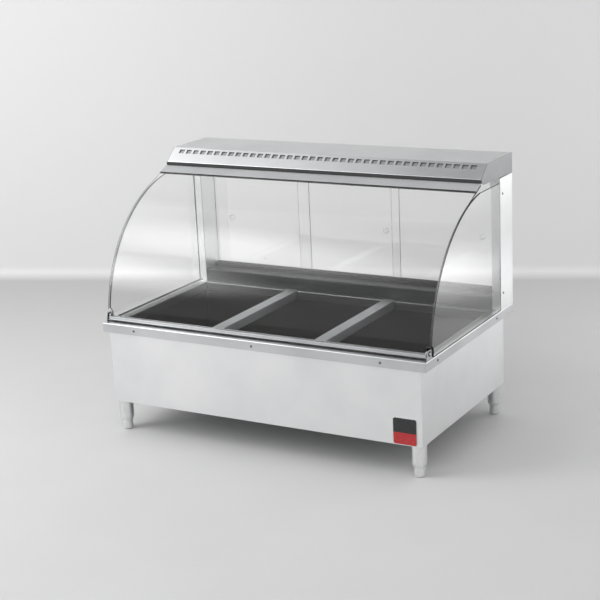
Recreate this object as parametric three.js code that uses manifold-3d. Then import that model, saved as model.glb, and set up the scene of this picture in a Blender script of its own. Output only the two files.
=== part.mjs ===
// Hot food display case: a heated three-bay well under a curved glass hood, on four adjustable legs.
// Millimetres. X runs left to right, Y from the customer's side to the operator's side, Z up.
// Inside the assembly group Y starts at the front edge of the counter. The group is then moved so that
// the origin is the middle of the footprint, on the surface the case stands on.

import * as THREE from 'three';
import { mergeVertices } from 'three/addons/utils/BufferGeometryUtils.js';
import Module from 'manifold-3d';

// Whole case
const WIDTH = 1176;
const DEPTH = 694;
const HEIGHT = 882;
const SHEET = 1.5;
const GAP = 0.3;
const HALF = WIDTH / 2;

// Legs and feet
const LEG_HEIGHT = 103;
const LEG_RADIUS = 24;
const LEG_TAPER = 13;
const FOOT_RADIUS = 18.5;
const FOOT_HEIGHT = 30;
const STEM_RADIUS = 8;
const STEM_TOP = 75;
const STEM_BORE = 8.4;

// Cabinet under the counter
const BODY_SIDE = 567;
const BODY_FRONT = 10;
const BODY_BACK = 660;
const PAN_RIM = 22;

// Counter, its apron and the well opening
const COUNTER_Z = 376;
const APRON_HEIGHT = 31;
const WELL_SIDE = 544;
const WELL_FRONT = 61;
const WELL_BACK = 572.5;
const FLANGE_DROP = 28;
const LINER_FLOOR = 186;
const LINER_GAP = 2;
const LINER_RIM = 10;
const JACKET_WALL = 15;
const JACKET_FLOOR = 128;
const JACKET_CAVITY = 150;
const JACKET_TOP = 372;

// Lift-out adapter bars between the three bays
const BAR_WIDTH = 40.5;
const BAR_LAP = 8;
const BAR_DROP = 28;
const BAY_WIDTH = (2 * WELL_SIDE - 2 * BAR_WIDTH) / 3;
const BAY_PITCH = BAY_WIDTH + BAR_WIDTH;

// Tubular heating elements
const ELEMENT_RADIUS = 4;
const ELEMENT_HALF_WIDTH = 110;
const ELEMENT_FRONT = 100;
const ELEMENT_BACK = 540;

// Rear posts, sill and sliding doors
const POST_WIDTH = 35.5;
const POST_FRONT = 589;
const SILL_TOP = 419.7;
const SILL_FRONT = 590;
const SILL_BACK = 692.5;
const TRACK_FRONT = 650;
const TRACK_BACK = 684;
const GROOVE = 7;
const FRONT_LANE = 659;
const REAR_LANE = 675;
const BOTTOM_TRACK_HEIGHT = 10;
const TOP_TRACK_Z = 797;
const DOOR_GLASS = 5;
const DOOR_BOTTOM = 423;
const DOOR_TOP = 806;
const DOOR_WIDTH = 392;
const PULL_RADIUS = 11.5;
const PULL_CUP = 8.5;
const PULL_THICKNESS = 3.5;
const PULL_Z = 597;
const OUTER_PULL_X = 485;
const MIDDLE_PULL_X = 144;

// Canopy
const CANOPY_BOTTOM = 815;
const CANOPY_LIP_Y = 434;
const CANOPY_LIP_Z = 839;
const CANOPY_EDGE_Y = 487;
const CANOPY_HEM = 18;
const VENT_COUNT = 39;
const VENT_PITCH = 28.8;
const VENT_WIDTH = 20;
const VENT_HEIGHT = 13;
const VENT_FROM_EDGE = 19;
const LAMP_RADIUS = 6;
const LAMP_LENGTH = 300;
const LAMP_Y = 541;
const LAMP_Z = 840;
const TROUGH_Z = 862;

// Curved front glass and its pivot. Angles are measured from the vertical, leaning towards +Y.
const GLASS = 6;
const GLASS_FOOT = [33.3, 383.5];
const GLASS_FOOT_ANGLE = THREE.MathUtils.degToRad(8);
const GLASS_TAIL_ANGLE = THREE.MathUtils.degToRad(67);
const GLASS_FOOT_LENGTH = 37;
const GLASS_RADIUS = 454.5;
const GLASS_TAIL = 129;
const NOTCH_TOP = 412;
const NOTCH_SIDE = 573;
const PIVOT_Y = 35;
const PIVOT_Z = 394;
const PIVOT_RADIUS = 4;
const BUSH_RADIUS = 8;
const RAIL_START = 90;
const RAIL_SKIN = 1.5;

// Side glass
const SIDE_GLASS_INSET = 8.5;
const SIDE_GLASS_TOP = 799;
const SIDE_GLASS_BOTTOM = 379;
const SIDE_GLASS_BACK = 586;
const PIVOT_CLEARANCE = 24;

// Rear controls
const CONTROL_Z = 285;
const THERMOSTAT_X = [300, 180, 60];
const LAMP_KNOB_X = -80;
const SWITCH_X = -200;
const SWITCH_HALF_WIDTH = 11;
const SWITCH_HALF_HEIGHT = 14.5;
const SWITCH_DEPTH = 30;
const ROCKER_HALF_WIDTH = 8.5;
const ROCKER_HALF_HEIGHT = 10.6;
const ROCKER_Y = 655;
const ROCKER_TILT = THREE.MathUtils.degToRad(10);
const GLAND_X = -480;
const GLAND_Z = 150;
const GLAND_RADIUS = 8.5;
const THERMOSTAT_SIZE = [48, 38, 40];
const SPINDLE_LENGTH = 13.5;
const KNOB_SKIRT = 26;
const KNOB_BODY = 19;
const KNOB_BACK = 661.5;
const SPINDLE_RADIUS = 4;

// Small fittings on the outside
const BADGE_X = 510;
const BADGE_Z = 148;
const BADGE_WIDTH = 80;
const BADGE_HEIGHT = 86;

const ROUND_STEPS = 28;
const ARC_STEPS = 26;

const wasm = await Module();
wasm.setup();

// ---- solids ---------------------------------------------------------------------------------------

function toSolid(geometry) {
  const bare = geometry.clone();
  bare.deleteAttribute('normal');
  bare.deleteAttribute('uv');
  const merged = mergeVertices(bare, 1e-4);
  const vertProperties = new Float32Array(merged.attributes.position.array);
  const triVerts = new Uint32Array(merged.index.array);
  return new wasm.Manifold(new wasm.Mesh({ numProp: 3, vertProperties, triVerts }));
}

function toGeometry(solid) {
  const mesh = solid.getMesh();
  const geometry = new THREE.BufferGeometry();
  geometry.setAttribute('position', new THREE.BufferAttribute(mesh.vertProperties, 3));
  geometry.setIndex(new THREE.BufferAttribute(mesh.triVerts, 1));
  return geometry.toNonIndexed();
}

function join(first, ...others) {
  return others.reduce((sum, other) => sum.add(other), first);
}

function cut(first, ...tools) {
  return tools.reduce((rest, tool) => rest.subtract(tool), first);
}

function box(x0, x1, y0, y1, z0, z1) {
  const geometry = new THREE.BoxGeometry(x1 - x0, y1 - y0, z1 - z0);
  geometry.translate((x0 + x1) / 2, (y0 + y1) / 2, (z0 + z1) / 2);
  return toSolid(geometry);
}

function extrude(points, depth) {
  const shape = new THREE.Shape(points.map(([a, b]) => new THREE.Vector2(a, b)));
  return new THREE.ExtrudeGeometry(shape, { depth, bevelEnabled: false });
}

// An outline of [y, z] points carried along X.
function prismX(points, x0, x1) {
  const geometry = extrude(points, x1 - x0);
  const basis = new THREE.Matrix4();
  basis.makeBasis(new THREE.Vector3(0, 1, 0), new THREE.Vector3(0, 0, 1), new THREE.Vector3(1, 0, 0));
  geometry.applyMatrix4(basis);
  geometry.translate(x0, 0, 0);
  return toSolid(geometry);
}

// An outline of [x, z] points carried along Y.
function prismY(points, y0, y1) {
  const geometry = extrude(points, y1 - y0);
  geometry.rotateX(Math.PI / 2);
  geometry.translate(0, y1, 0);
  return toSolid(geometry);
}

// A closed or axis-to-axis profile of [radius, height] points turned about an upright axis.
function turned(profile, steps = ROUND_STEPS) {
  const geometry = new THREE.LatheGeometry(profile.map(([r, h]) => new THREE.Vector2(r, h)), steps);
  geometry.rotateX(Math.PI / 2);
  return geometry;
}

function turnedZ(profile, x, y, z) {
  return toSolid(turned(profile).translate(x, y, z));
}

// The profile's heights run towards +Y.
function turnedY(profile, x, y, z) {
  return toSolid(turned(profile).rotateX(-Math.PI / 2).translate(x, y, z));
}

function rodX(radius, x0, x1, y, z, steps = ROUND_STEPS) {
  const geometry = new THREE.CylinderGeometry(radius, radius, x1 - x0, steps);
  geometry.rotateZ(Math.PI / 2);
  geometry.translate((x0 + x1) / 2, y, z);
  return toSolid(geometry);
}

function rodY(radius, x, y0, y1, z, steps = ROUND_STEPS) {
  const geometry = new THREE.CylinderGeometry(radius, radius, y1 - y0, steps);
  geometry.translate(x, (y0 + y1) / 2, z);
  return toSolid(geometry);
}

// A solid made for the right-hand end, or its mirror image for the left-hand end.
function handed(solid, side) {
  return side > 0 ? solid : solid.mirror([1, 0, 0]);
}

// ---- the curve of the front glass ------------------------------------------------------------------

const FOOT_END = [
  GLASS_FOOT[0] + GLASS_FOOT_LENGTH * Math.sin(GLASS_FOOT_ANGLE),
  GLASS_FOOT[1] + GLASS_FOOT_LENGTH * Math.cos(GLASS_FOOT_ANGLE),
];
const CURVE_CENTRE = [
  FOOT_END[0] + GLASS_RADIUS * Math.cos(GLASS_FOOT_ANGLE),
  FOOT_END[1] - GLASS_RADIUS * Math.sin(GLASS_FOOT_ANGLE),
];

function arcPoint(angle, inset) {
  const radius = GLASS_RADIUS - inset;
  return [CURVE_CENTRE[0] - radius * Math.cos(angle), CURVE_CENTRE[1] + radius * Math.sin(angle)];
}

function arcPoints(inset, endAngle) {
  const points = [];
  for (let i = 0; i <= ARC_STEPS; i += 1) {
    points.push(arcPoint(GLASS_FOOT_ANGLE + (endAngle - GLASS_FOOT_ANGLE) * (i / ARC_STEPS), inset));
  }
  return points;
}

// A point of the straight tail: along it from the end of the arc, and outwards from the outer face.
function tailPoint(along, outwards) {
  const [y, z] = arcPoint(GLASS_TAIL_ANGLE, -outwards);
  return [y + along * Math.sin(GLASS_TAIL_ANGLE), z + along * Math.cos(GLASS_TAIL_ANGLE)];
}

function footPoint(inset) {
  return [
    GLASS_FOOT[0] + inset * Math.cos(GLASS_FOOT_ANGLE),
    GLASS_FOOT[1] - inset * Math.sin(GLASS_FOOT_ANGLE),
  ];
}

// ---- base ------------------------------------------------------------------------------------------

function basePan() {
  const side = BODY_SIDE - SHEET - GAP;
  const front = BODY_FRONT + SHEET + GAP;
  const back = BODY_BACK - SHEET - GAP;
  const tray = box(-side, side, front, back, LEG_HEIGHT, LEG_HEIGHT + PAN_RIM);
  const inside = box(
    -side + SHEET, side - SHEET, front + SHEET, back - SHEET, LEG_HEIGHT + SHEET, LEG_HEIGHT + 2 * PAN_RIM,
  );
  return cut(tray, inside);
}

const PANEL_TOP = COUNTER_Z - SHEET - GAP;

function frontPanel() {
  return box(-BODY_SIDE, BODY_SIDE, BODY_FRONT, BODY_FRONT + SHEET, LEG_HEIGHT, PANEL_TOP);
}

function sidePanel(side) {
  const front = BODY_FRONT + SHEET + GAP;
  const back = BODY_BACK - SHEET - GAP;
  return handed(box(BODY_SIDE - SHEET, BODY_SIDE, front, back, LEG_HEIGHT, PANEL_TOP), side);
}

function rearControlPanel() {
  const inner = BODY_BACK - SHEET;
  let panel = box(-BODY_SIDE, BODY_SIDE, inner, BODY_BACK, LEG_HEIGHT, PANEL_TOP);
  for (const x of [...THERMOSTAT_X, LAMP_KNOB_X]) {
    panel = cut(panel, rodY(SPINDLE_RADIUS + 1.5, x, inner - 5, BODY_BACK + 5, CONTROL_Z));
  }
  const slot = box(
    SWITCH_X - SWITCH_HALF_WIDTH - GAP, SWITCH_X + SWITCH_HALF_WIDTH + GAP, inner - 5, BODY_BACK + 5,
    CONTROL_Z - SWITCH_HALF_HEIGHT - GAP, CONTROL_Z + SWITCH_HALF_HEIGHT + GAP,
  );
  return cut(panel, slot, rodY(GLAND_RADIUS + 0.5, GLAND_X, inner - 5, BODY_BACK + 5, GLAND_Z));
}

function leg(x, y) {
  const shoulder = FOOT_HEIGHT + LEG_TAPER;
  return turnedZ([
    [STEM_BORE, FOOT_HEIGHT + GAP],
    [FOOT_RADIUS, FOOT_HEIGHT + GAP],
    [LEG_RADIUS, shoulder],
    [LEG_RADIUS, LEG_HEIGHT - GAP],
    [0, LEG_HEIGHT - GAP],
    [0, STEM_TOP + 4],
    [STEM_BORE, STEM_TOP + 4],
    [STEM_BORE, FOOT_HEIGHT + GAP],
  ], x, y, 0);
}

function foot(x, y) {
  return turnedZ([
    [0, 0],
    [14, 0],
    [FOOT_RADIUS, 5],
    [FOOT_RADIUS, FOOT_HEIGHT],
    [STEM_RADIUS, FOOT_HEIGHT],
    [STEM_RADIUS, STEM_TOP],
    [0, STEM_TOP],
  ], x, y, 0);
}

// ---- counter and well ------------------------------------------------------------------------------

// One turned-down edge of the well opening; its corners are cut off at 45 degrees.
function flangeOutline(from, to) {
  const low = COUNTER_Z - SHEET - FLANGE_DROP;
  return [[from, COUNTER_Z], [from + FLANGE_DROP, low], [to - FLANGE_DROP, low], [to, COUNTER_Z]];
}

function counterTop() {
  const bottom = COUNTER_Z - APRON_HEIGHT;
  const shell = cut(
    box(-HALF, HALF, 0, DEPTH, bottom, COUNTER_Z),
    box(-HALF + SHEET, HALF - SHEET, SHEET, DEPTH - SHEET, bottom - SHEET, COUNTER_Z - SHEET),
    box(-WELL_SIDE, WELL_SIDE, WELL_FRONT, WELL_BACK, COUNTER_Z - 5, COUNTER_Z + 5),
  );
  const across = flangeOutline(-WELL_SIDE, WELL_SIDE);
  const along = flangeOutline(WELL_FRONT, WELL_BACK);
  return join(
    shell,
    prismY(across, WELL_FRONT - SHEET, WELL_FRONT),
    prismY(across, WELL_BACK, WELL_BACK + SHEET),
    prismX(along, -WELL_SIDE - SHEET, -WELL_SIDE),
    prismX(along, WELL_SIDE, WELL_SIDE + SHEET),
  );
}

// The inside of the trough, grown by a margin on every side.
function trough(margin, z0, z1) {
  const grow = LINER_GAP + margin;
  return box(-WELL_SIDE - grow, WELL_SIDE + grow, WELL_FRONT - grow, WELL_BACK + grow, z0, z1);
}

function wellLiner() {
  const outer = trough(SHEET, LINER_FLOOR - SHEET, PANEL_TOP);
  const rim = trough(SHEET + LINER_RIM, PANEL_TOP - SHEET, PANEL_TOP);
  return cut(join(outer, rim), trough(0, LINER_FLOOR, COUNTER_Z));
}

function insulationJacket() {
  const outer = trough(SHEET + 0.5 + JACKET_WALL, JACKET_FLOOR, JACKET_TOP);
  return cut(outer, trough(SHEET + 0.5, JACKET_CAVITY, COUNTER_Z));
}

// A flat double hairpin of tube held up against the underside of the liner.
function wellElement(x) {
  const z = LINER_FLOOR - SHEET - GAP - ELEMENT_RADIUS;
  const wide = ELEMENT_HALF_WIDTH;
  const narrow = wide / 3;
  const plan = [
    [-narrow, ELEMENT_BACK], [-narrow, ELEMENT_FRONT + 70], [-narrow - 25, ELEMENT_FRONT + 5],
    [-wide + 12, ELEMENT_FRONT + 5], [-wide, ELEMENT_FRONT + 60], [-wide, ELEMENT_BACK - 90],
    [-wide + 30, ELEMENT_BACK - 50], [wide - 30, ELEMENT_BACK - 50], [wide, ELEMENT_BACK - 90],
    [wide, ELEMENT_FRONT + 60], [wide - 12, ELEMENT_FRONT + 5], [narrow + 25, ELEMENT_FRONT + 5],
    [narrow, ELEMENT_FRONT + 70], [narrow, ELEMENT_BACK - 70],
  ];
  const lifted = plan.map(([dx, y], i) => new THREE.Vector3(x + dx, y, i === 0 ? z - 9 : z));
  lifted[0].y = ELEMENT_BACK - 70;
  const path = new THREE.CatmullRomCurve3(lifted, false, 'catmullrom', 0.35);
  const section = new THREE.Shape();
  section.absarc(0, 0, ELEMENT_RADIUS - 0.1, 0, 2 * Math.PI);
  const geometry = new THREE.ExtrudeGeometry(section, { extrudePath: path, steps: 52, curveSegments: 4 });
  return toSolid(geometry);
}

function adapterBar(x) {
  const half = BAR_WIDTH / 2;
  const top = COUNTER_Z + GAP;
  const low = top - BAR_DROP;
  const plate = box(x - half, x + half, WELL_FRONT - BAR_LAP, WELL_BACK + BAR_LAP, top, top + SHEET);
  const wall = box(x - half, x - half + SHEET, WELL_FRONT + 1, WELL_BACK - 1, low, top + SHEET / 2);
  const otherWall = wall.translate([BAR_WIDTH - SHEET, 0, 0]);
  return join(plate, wall, otherWall);
}

// ---- operator's side -------------------------------------------------------------------------------

function post(side) {
  const inner = HALF - POST_WIDTH;
  const tube = box(inner, HALF, POST_FRONT, DEPTH, COUNTER_Z + GAP, CANOPY_BOTTOM - GAP);
  const hollow = box(
    inner + SHEET, HALF - SHEET, POST_FRONT + SHEET, DEPTH - SHEET, COUNTER_Z, CANOPY_BOTTOM,
  );
  return handed(cut(tube, hollow), side);
}

const BETWEEN_POSTS = HALF - POST_WIDTH - GAP;

function rearSill() {
  const bottom = COUNTER_Z + GAP;
  const cover = box(-BETWEEN_POSTS, BETWEEN_POSTS, SILL_FRONT, SILL_BACK, bottom, SILL_TOP);
  const under = box(
    -HALF, HALF, SILL_FRONT + SHEET, SILL_BACK - SHEET, bottom - SHEET, SILL_TOP - SHEET,
  );
  return cut(cover, under);
}

function lane(y, z0, z1) {
  return box(-HALF, HALF, y - GROOVE / 2, y + GROOVE / 2, z0, z1);
}

function bottomDoorTrack() {
  const z = SILL_TOP + GAP;
  const rail = box(-BETWEEN_POSTS, BETWEEN_POSTS, TRACK_FRONT, TRACK_BACK, z, z + BOTTOM_TRACK_HEIGHT);
  const floor = z + 2;
  return cut(rail, lane(FRONT_LANE, floor, DOOR_TOP), lane(REAR_LANE, floor, DOOR_TOP));
}

function topDoorTrack() {
  const top = CANOPY_BOTTOM - GAP;
  const rail = box(-BETWEEN_POSTS, BETWEEN_POSTS, TRACK_FRONT, TRACK_BACK, TOP_TRACK_Z, top);
  const roof = top - 2;
  return cut(rail, lane(FRONT_LANE, DOOR_BOTTOM, roof), lane(REAR_LANE, DOOR_BOTTOM, roof));
}

function door(x, y) {
  const half = DOOR_WIDTH / 2;
  return box(x - half, x + half, y - DOOR_GLASS / 2, y + DOOR_GLASS / 2, DOOR_BOTTOM, DOOR_TOP);
}

// A low cup on the operator's face of a door.
function doorPull(x, y) {
  const cupFloor = 1.3;
  return turnedY([
    [0, 0],
    [PULL_RADIUS, 0],
    [PULL_RADIUS, PULL_THICKNESS - 0.7],
    [PULL_RADIUS - 0.7, PULL_THICKNESS],
    [PULL_CUP, PULL_THICKNESS],
    [PULL_CUP - 1.5, cupFloor],
    [0, cupFloor],
  ], x, y + DOOR_GLASS / 2 + GAP, PULL_Z);
}

// ---- canopy ----------------------------------------------------------------------------------------

function ventSlots() {
  const run = CANOPY_EDGE_Y - CANOPY_LIP_Y;
  const rise = HEIGHT - CANOPY_LIP_Z;
  const slope = Math.atan2(rise, run);
  const y = CANOPY_EDGE_Y - VENT_FROM_EDGE * Math.cos(slope);
  const z = HEIGHT - VENT_FROM_EDGE * Math.sin(slope);
  const slots = [];
  for (let i = 0; i < VENT_COUNT; i += 1) {
    const geometry = new THREE.BoxGeometry(VENT_WIDTH, VENT_HEIGHT, 8 * SHEET);
    geometry.rotateX(slope);
    geometry.translate((i - (VENT_COUNT - 1) / 2) * VENT_PITCH, y, z);
    slots.push(toSolid(geometry));
  }
  return slots;
}

function canopyShell() {
  const hem = CANOPY_LIP_Y + CANOPY_HEM;
  const skin = prismX([
    [hem, CANOPY_LIP_Z - SHEET],
    [CANOPY_LIP_Y, CANOPY_LIP_Z - SHEET],
    [CANOPY_LIP_Y, CANOPY_LIP_Z],
    [CANOPY_EDGE_Y, HEIGHT],
    [DEPTH, HEIGHT],
    [DEPTH, CANOPY_BOTTOM],
    [DEPTH - SHEET, CANOPY_BOTTOM],
    [DEPTH - SHEET, HEIGHT - SHEET],
    [CANOPY_EDGE_Y + 0.5, HEIGHT - SHEET],
    [CANOPY_LIP_Y + 2.4, CANOPY_LIP_Z],
    [hem, CANOPY_LIP_Z],
  ], -HALF, HALF);
  const end = [
    [CANOPY_LIP_Y + 7, CANOPY_LIP_Z - SHEET],
    [CANOPY_LIP_Y, CANOPY_LIP_Z - SHEET],
    [CANOPY_LIP_Y, CANOPY_LIP_Z],
    [CANOPY_EDGE_Y, HEIGHT],
    [DEPTH, HEIGHT],
    [DEPTH, CANOPY_BOTTOM],
    [CANOPY_LIP_Y + 23, CANOPY_BOTTOM + 5],
    [CANOPY_LIP_Y + 7, CANOPY_BOTTOM + 12],
  ];
  const whole = join(skin, prismX(end, -HALF, -HALF + SHEET), prismX(end, HALF - SHEET, HALF));
  return cut(whole, ...ventSlots());
}

// The polished tray that closes the canopy from below, with a trough for the lamps.
function canopyReflector() {
  const side = HALF - SHEET - GAP;
  const front = CANOPY_LIP_Y + 8;
  const back = DEPTH - SHEET - GAP;
  return prismX([
    [front, 826],
    [475, 826],
    [487, TROUGH_Z - SHEET],
    [595, TROUGH_Z - SHEET],
    [608, CANOPY_BOTTOM],
    [back, CANOPY_BOTTOM],
    [back, CANOPY_BOTTOM + SHEET],
    [609, CANOPY_BOTTOM + SHEET],
    [596, TROUGH_Z],
    [486, TROUGH_Z],
    [474, 826 + SHEET],
    [front, 826 + SHEET],
  ], -side, side);
}

function heatLamp(x) {
  const half = LAMP_LENGTH / 2;
  const tube = rodX(LAMP_RADIUS, x - half, x + half, LAMP_Y, LAMP_Z, 16);
  const holder = (at) => box(at - 11, at + 11, LAMP_Y - 10, LAMP_Y + 10, LAMP_Z - 10, TROUGH_Z - SHEET - GAP);
  return join(tube, holder(x - half), holder(x + half));
}

function canopySeal() {
  const top = CANOPY_LIP_Z - SHEET - GAP;
  return box(-HALF, HALF, CANOPY_LIP_Y + 0.5, CANOPY_LIP_Y + 6, top - 11, top);
}

// ---- glass -----------------------------------------------------------------------------------------

function curvedFrontGlass() {
  const outer = [footPoint(0), ...arcPoints(0, GLASS_TAIL_ANGLE), tailPoint(GLASS_TAIL, 0)];
  const inner = [footPoint(GLASS), ...arcPoints(GLASS, GLASS_TAIL_ANGLE), tailPoint(GLASS_TAIL, -GLASS)];
  const pane = prismX([...outer, ...inner.reverse()], -HALF, HALF);
  const notch = box(NOTCH_SIDE, HALF + 5, 0, 100, COUNTER_Z, NOTCH_TOP);
  return cut(pane, handed(notch, 1), handed(notch, -1));
}

const EAR_FACE = NOTCH_SIDE + 4.5;

// The channel under the glass, with an ear at each end that carries a welded pivot pin.
function glassBottomChannel() {
  const bar = box(-EAR_FACE, EAR_FACE, PIVOT_Y - 10, PIVOT_Y + 10, PIVOT_Z - 13, PIVOT_Z - 2.5);
  const slot = box(-NOTCH_SIDE - 0.5, NOTCH_SIDE + 0.5, 32.5, 41.4, PIVOT_Z - 11.8, PIVOT_Z);
  const ear = box(EAR_FACE - 3.5, EAR_FACE, PIVOT_Y - 6, PIVOT_Y + 6, PIVOT_Z - 6, PIVOT_Z + 6);
  const pin = rodX(PIVOT_RADIUS, EAR_FACE - 1, HALF - 0.5, PIVOT_Y, PIVOT_Z, 20);
  const end = join(ear, pin);
  return join(cut(bar, slot), handed(end, 1), handed(end, -1));
}

function glassTopRail() {
  const outer = GAP + RAIL_SKIN;
  const inner = -GLASS - outer;
  const stop = GLASS_TAIL + 0.8;
  return prismX([
    tailPoint(RAIL_START, GAP),
    tailPoint(RAIL_START, outer),
    tailPoint(stop + RAIL_SKIN, outer),
    tailPoint(stop + RAIL_SKIN, inner),
    tailPoint(RAIL_START, inner),
    tailPoint(RAIL_START, inner + RAIL_SKIN),
    tailPoint(stop, inner + RAIL_SKIN),
    tailPoint(stop, GAP),
  ], -HALF, HALF);
}

function pivotBush(side) {
  const sleeve = rodX(BUSH_RADIUS, EAR_FACE + 1.5, HALF - 1.5, PIVOT_Y, PIVOT_Z, 24);
  return handed(cut(sleeve, rodX(PIVOT_RADIUS + 0.4, HALF - 20, HALF + 5, PIVOT_Y, PIVOT_Z, 24)), side);
}

function pivotBracket(side) {
  const plate = prismX([
    [PIVOT_Y - 16, COUNTER_Z + GAP],
    [PIVOT_Y + 16, COUNTER_Z + GAP],
    [PIVOT_Y + 10, PIVOT_Z + 10],
    [PIVOT_Y - 10, PIVOT_Z + 10],
  ], HALF - 6, HALF - 3);
  return handed(cut(plate, rodX(BUSH_RADIUS + GAP, HALF - 20, HALF + 5, PIVOT_Y, PIVOT_Z, 24)), side);
}

function sideGlass(side) {
  const topAngle = Math.asin((SIDE_GLASS_TOP - CURVE_CENTRE[1]) / (GLASS_RADIUS - SIDE_GLASS_INSET));
  const outline = [
    [footPoint(SIDE_GLASS_INSET)[0], SIDE_GLASS_BOTTOM],
    ...arcPoints(SIDE_GLASS_INSET, topAngle),
    [SIDE_GLASS_BACK, SIDE_GLASS_TOP],
    [SIDE_GLASS_BACK, SIDE_GLASS_BOTTOM],
  ];
  const pane = prismX(outline, HALF - GLASS, HALF);
  const clearance = rodX(PIVOT_CLEARANCE, HALF - 20, HALF + 5, PIVOT_Y, PIVOT_Z, 36);
  const corner = box(HALF - 20, HALF + 5, 0, PIVOT_Y + 20, COUNTER_Z, PIVOT_Z);
  return handed(cut(pane, clearance, corner), side);
}

// A soft strip under the side glass, turned up behind it against the post.
function glassSeal(side) {
  const inner = HALF - GLASS + 0.5;
  const outer = HALF - 0.5;
  const under = box(inner, outer, 60, POST_FRONT - GAP, COUNTER_Z + GAP, SIDE_GLASS_BOTTOM - GAP);
  const behind = box(
    inner, outer, SIDE_GLASS_BACK + GAP, POST_FRONT - GAP, COUNTER_Z + GAP, SIDE_GLASS_TOP,
  );
  return handed(join(under, behind), side);
}

// ---- controls and small fittings -------------------------------------------------------------------

function thermostat(x) {
  const face = BODY_BACK - SHEET - GAP;
  const [w, d, h] = THERMOSTAT_SIZE;
  const body = box(x - w / 2, x + w / 2, face - d, face, CONTROL_Z - h / 2, CONTROL_Z + h / 2);
  return cut(body, rodY(SPINDLE_RADIUS + 0.6, x, face - SPINDLE_LENGTH, face + 5, CONTROL_Z));
}

// A skirted dial with a grip bar across it, on its spindle.
function controlKnob(x) {
  const dial = turnedY([
    [0, -SPINDLE_LENGTH],
    [SPINDLE_RADIUS, -SPINDLE_LENGTH],
    [SPINDLE_RADIUS, 0],
    [KNOB_SKIRT, 0],
    [KNOB_SKIRT, 3],
    [KNOB_BODY, 5],
    [KNOB_BODY - 1.5, 20],
    [KNOB_BODY - 3.5, 21.5],
    [0, 21.5],
  ], x, KNOB_BACK, CONTROL_Z);
  const low = CONTROL_Z - KNOB_BODY;
  const high = CONTROL_Z + KNOB_SKIRT - 2;
  return join(dial, box(x - 4, x + 4, KNOB_BACK + 4, KNOB_BACK + 26, low, high));
}

// A block of the switch, given by how far it stands out of the switch's own half width and half height.
function switchBlock(grow, y0, y1) {
  const w = SWITCH_HALF_WIDTH + grow;
  const h = SWITCH_HALF_HEIGHT + grow;
  return box(SWITCH_X - w, SWITCH_X + w, y0, y1, CONTROL_Z - h, CONTROL_Z + h);
}

function switchBezel() {
  const back = BODY_BACK - SWITCH_DEPTH;
  const rim = switchBlock(3, BODY_BACK + GAP, BODY_BACK + 2.8);
  const housing = switchBlock(0, back, BODY_BACK + 1);
  return cut(join(rim, housing), switchBlock(-2, back + 10, BODY_BACK + 5));
}

// The paddle is a shallow V on its pivot, resting with its lower half pressed in.
function powerRocker() {
  const h = ROCKER_HALF_HEIGHT;
  const outline = [[-4, -4], [3, -h], [8, -h], [5.5, 0], [8, h], [3, h], [-4, 4]];
  const turn = outline.map(([dy, dz]) => [
    ROCKER_Y + dy * Math.cos(ROCKER_TILT) + dz * Math.sin(ROCKER_TILT),
    CONTROL_Z - dy * Math.sin(ROCKER_TILT) + dz * Math.cos(ROCKER_TILT),
  ]);
  return prismX(turn, SWITCH_X - ROCKER_HALF_WIDTH, SWITCH_X + ROCKER_HALF_WIDTH);
}

// The gland for the supply cord, closed by its soft membrane.
function cableGland() {
  return turnedY([
    [0, -20],
    [GLAND_RADIUS, -20],
    [GLAND_RADIUS, GAP],
    [14, GAP],
    [14, 7],
    [10, 9],
    [8, 22],
    [5, 22],
    [4.5, 20],
    [0, 20],
  ], GLAND_X, BODY_BACK, GLAND_Z);
}

function badge() {
  const w = BADGE_WIDTH / 2;
  const h = BADGE_HEIGHT / 2;
  const r = 8;
  const shape = new THREE.Shape();
  shape.moveTo(-w + r, -h);
  shape.absarc(w - r, -h + r, r, -Math.PI / 2, 0);
  shape.absarc(w - r, h - r, r, 0, Math.PI / 2);
  shape.absarc(-w + r, h - r, r, Math.PI / 2, Math.PI);
  shape.absarc(-w + r, -h + r, r, Math.PI, 1.5 * Math.PI);
  const geometry = new THREE.ExtrudeGeometry(shape, { depth: 2, bevelEnabled: false, curveSegments: 5 });
  geometry.rotateX(Math.PI / 2);
  geometry.translate(BADGE_X, BODY_FRONT - GAP, BADGE_Z);
  return toSolid(geometry);
}

// ---- finishes --------------------------------------------------------------------------------------

function finish(color, roughness, metalness, opacity = 1) {
  return { color, roughness, metalness, opacity, transparent: opacity < 1 };
}

const SATIN_STEEL = finish(0xc9cacb, 0.32, 1);
const DULL_STEEL = finish(0x8d8e8f, 0.45, 1);
const BRIGHT_STEEL = finish(0xe2e3e4, 0.15, 1);
const CLEAR_GLASS = finish(0xe9eff0, 0.05, 0, 0.3);
const BLACK_RUBBER = finish(0x161616, 0.8, 0);
const BLACK_PLASTIC = finish(0x1d1d1f, 0.45, 0);
const ALUMINIUM = finish(0xb4b6b8, 0.35, 1);
const WOOL = finish(0xd8cfa8, 0.95, 0);
const QUARTZ = finish(0xf3e9dc, 0.1, 0, 0.7);
const RED_ENAMEL = finish(0xc8231c, 0.35, 0);

const assembly = new THREE.Group();

function add(name, solid, look) {
  const mesh = new THREE.Mesh(toGeometry(solid), new THREE.MeshStandardMaterial(look));
  mesh.name = name;
  assembly.add(mesh);
}

// ---- assembly --------------------------------------------------------------------------------------

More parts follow.
